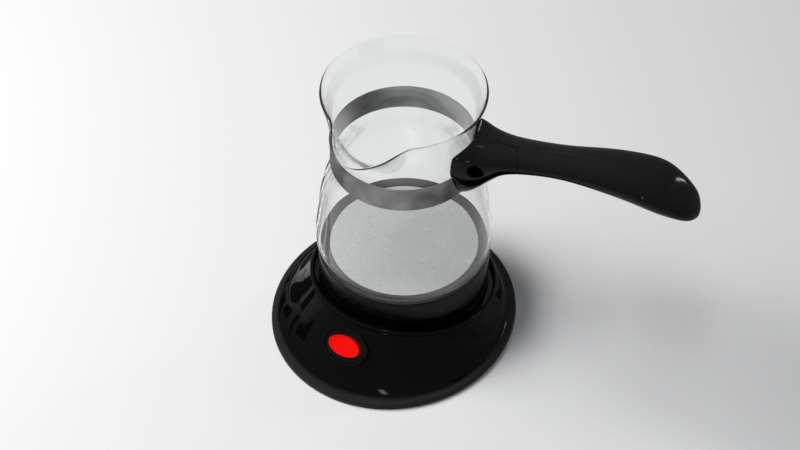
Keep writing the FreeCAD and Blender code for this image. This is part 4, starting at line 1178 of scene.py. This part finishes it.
def photo_camera():
    """Camera at the photograph's place: turned about Z and raised, then rolled a little about its own axis."""
    back = np.array([
        math.cos(VIEW_ELEVATION) * math.sin(VIEW_TURN), -math.cos(VIEW_ELEVATION) * math.cos(VIEW_TURN),
        math.sin(VIEW_ELEVATION),
    ])
    right = np.array([math.cos(VIEW_TURN), math.sin(VIEW_TURN), 0.0])
    up = np.cross(back, right)
    place = np.array([0.0, 0.0, SEAT_Z]) + back * VIEW_DISTANCE + right * VIEW_SIDE + up * VIEW_RISE
    c = math.cos(VIEW_ROLL)
    s = math.sin(VIEW_ROLL)
    matrix = Matrix.Identity(4)
    matrix.col[0][:3] = c * right - s * up
    matrix.col[1][:3] = s * right + c * up
    matrix.col[2][:3] = back
    matrix.col[3][:3] = place
    camera = bpy.data.cameras.new("photo_camera")
    camera.lens = LENS_MM
    camera.sensor_width = SENSOR_MM
    camera.sensor_fit = "HORIZONTAL"
    holder = bpy.data.objects.new("photo_camera", camera)
    holder.matrix_world = matrix
    bpy.context.scene.collection.objects.link(holder)
    bpy.context.scene.camera = holder


class POT_OT_stage(bpy.types.Operator):
    """Floor, lamps, world and camera"""

    bl_idname = "coffee_pot.stage"
    bl_label = "Stage"

    def execute(self, context):
        half = sizes().floor_half
        flat_card("studio_floor", (0.0, 0.0, 0.0), UPWARD, half, half, floor_material())
        studio_world()
        key = area_lamp("key_left", *KEY_LAMP)
        key.visible_glossy = False
        area_lamp("front_window", *WINDOW_LAMP)
        area_lamp("back_strip", *STRIP_LAMP)
        studio_flags(Finish("studio_flag", FLAG_TONE, MATT).material)
        photo_camera()
        context.scene.view_settings.view_transform = "Standard"
        return {"FINISHED"}


class POT_PT_panel(bpy.types.Panel):
    """Lists the pieces of the pot"""

    bl_idname = "POT_PT_panel"
    bl_label = "Coffee Pot"
    bl_space_type = "VIEW_3D"
    bl_region_type = "UI"
    bl_category = "Coffee Pot"

    def draw(self, context):
        for operator in OPERATORS:
            self.layout.operator(operator.bl_idname)
        for group in (context.scene.coffee_pot_sizes, context.scene.coffee_pot_colours):
            for name in group.bl_rna.properties.keys():
                if name not in ("rna_type", "name"):
                    self.layout.prop(group, name)


OPERATORS = (
    POT_OT_power_base, POT_OT_switch, POT_OT_glass, POT_OT_foot, POT_OT_band, POT_OT_handle, POT_OT_inner_parts,
    POT_OT_stage,
)
CLASSES = (PotSizes, PotColours, *OPERATORS, POT_PT_panel)


def register():
    for item in CLASSES:
        bpy.utils.register_class(item)
    bpy.types.Scene.coffee_pot_sizes = bpy.props.PointerProperty(type=PotSizes)
    bpy.types.Scene.coffee_pot_colours = bpy.props.PointerProperty(type=PotColours)


def unregister():
    del bpy.types.Scene.coffee_pot_colours
    del bpy.types.Scene.coffee_pot_sizes
    for item in reversed(CLASSES):
        bpy.utils.unregister_class(item)


def main():
    register()
    bpy.ops.coffee_pot.power_base()
    bpy.ops.coffee_pot.switch()
    bpy.ops.coffee_pot.glass()
    bpy.ops.coffee_pot.foot()
    bpy.ops.coffee_pot.band()
    bpy.ops.coffee_pot.handle()
    bpy.ops.coffee_pot.inner_parts()
    bpy.ops.coffee_pot.stage()


if __name__ == "__main__":
    main()
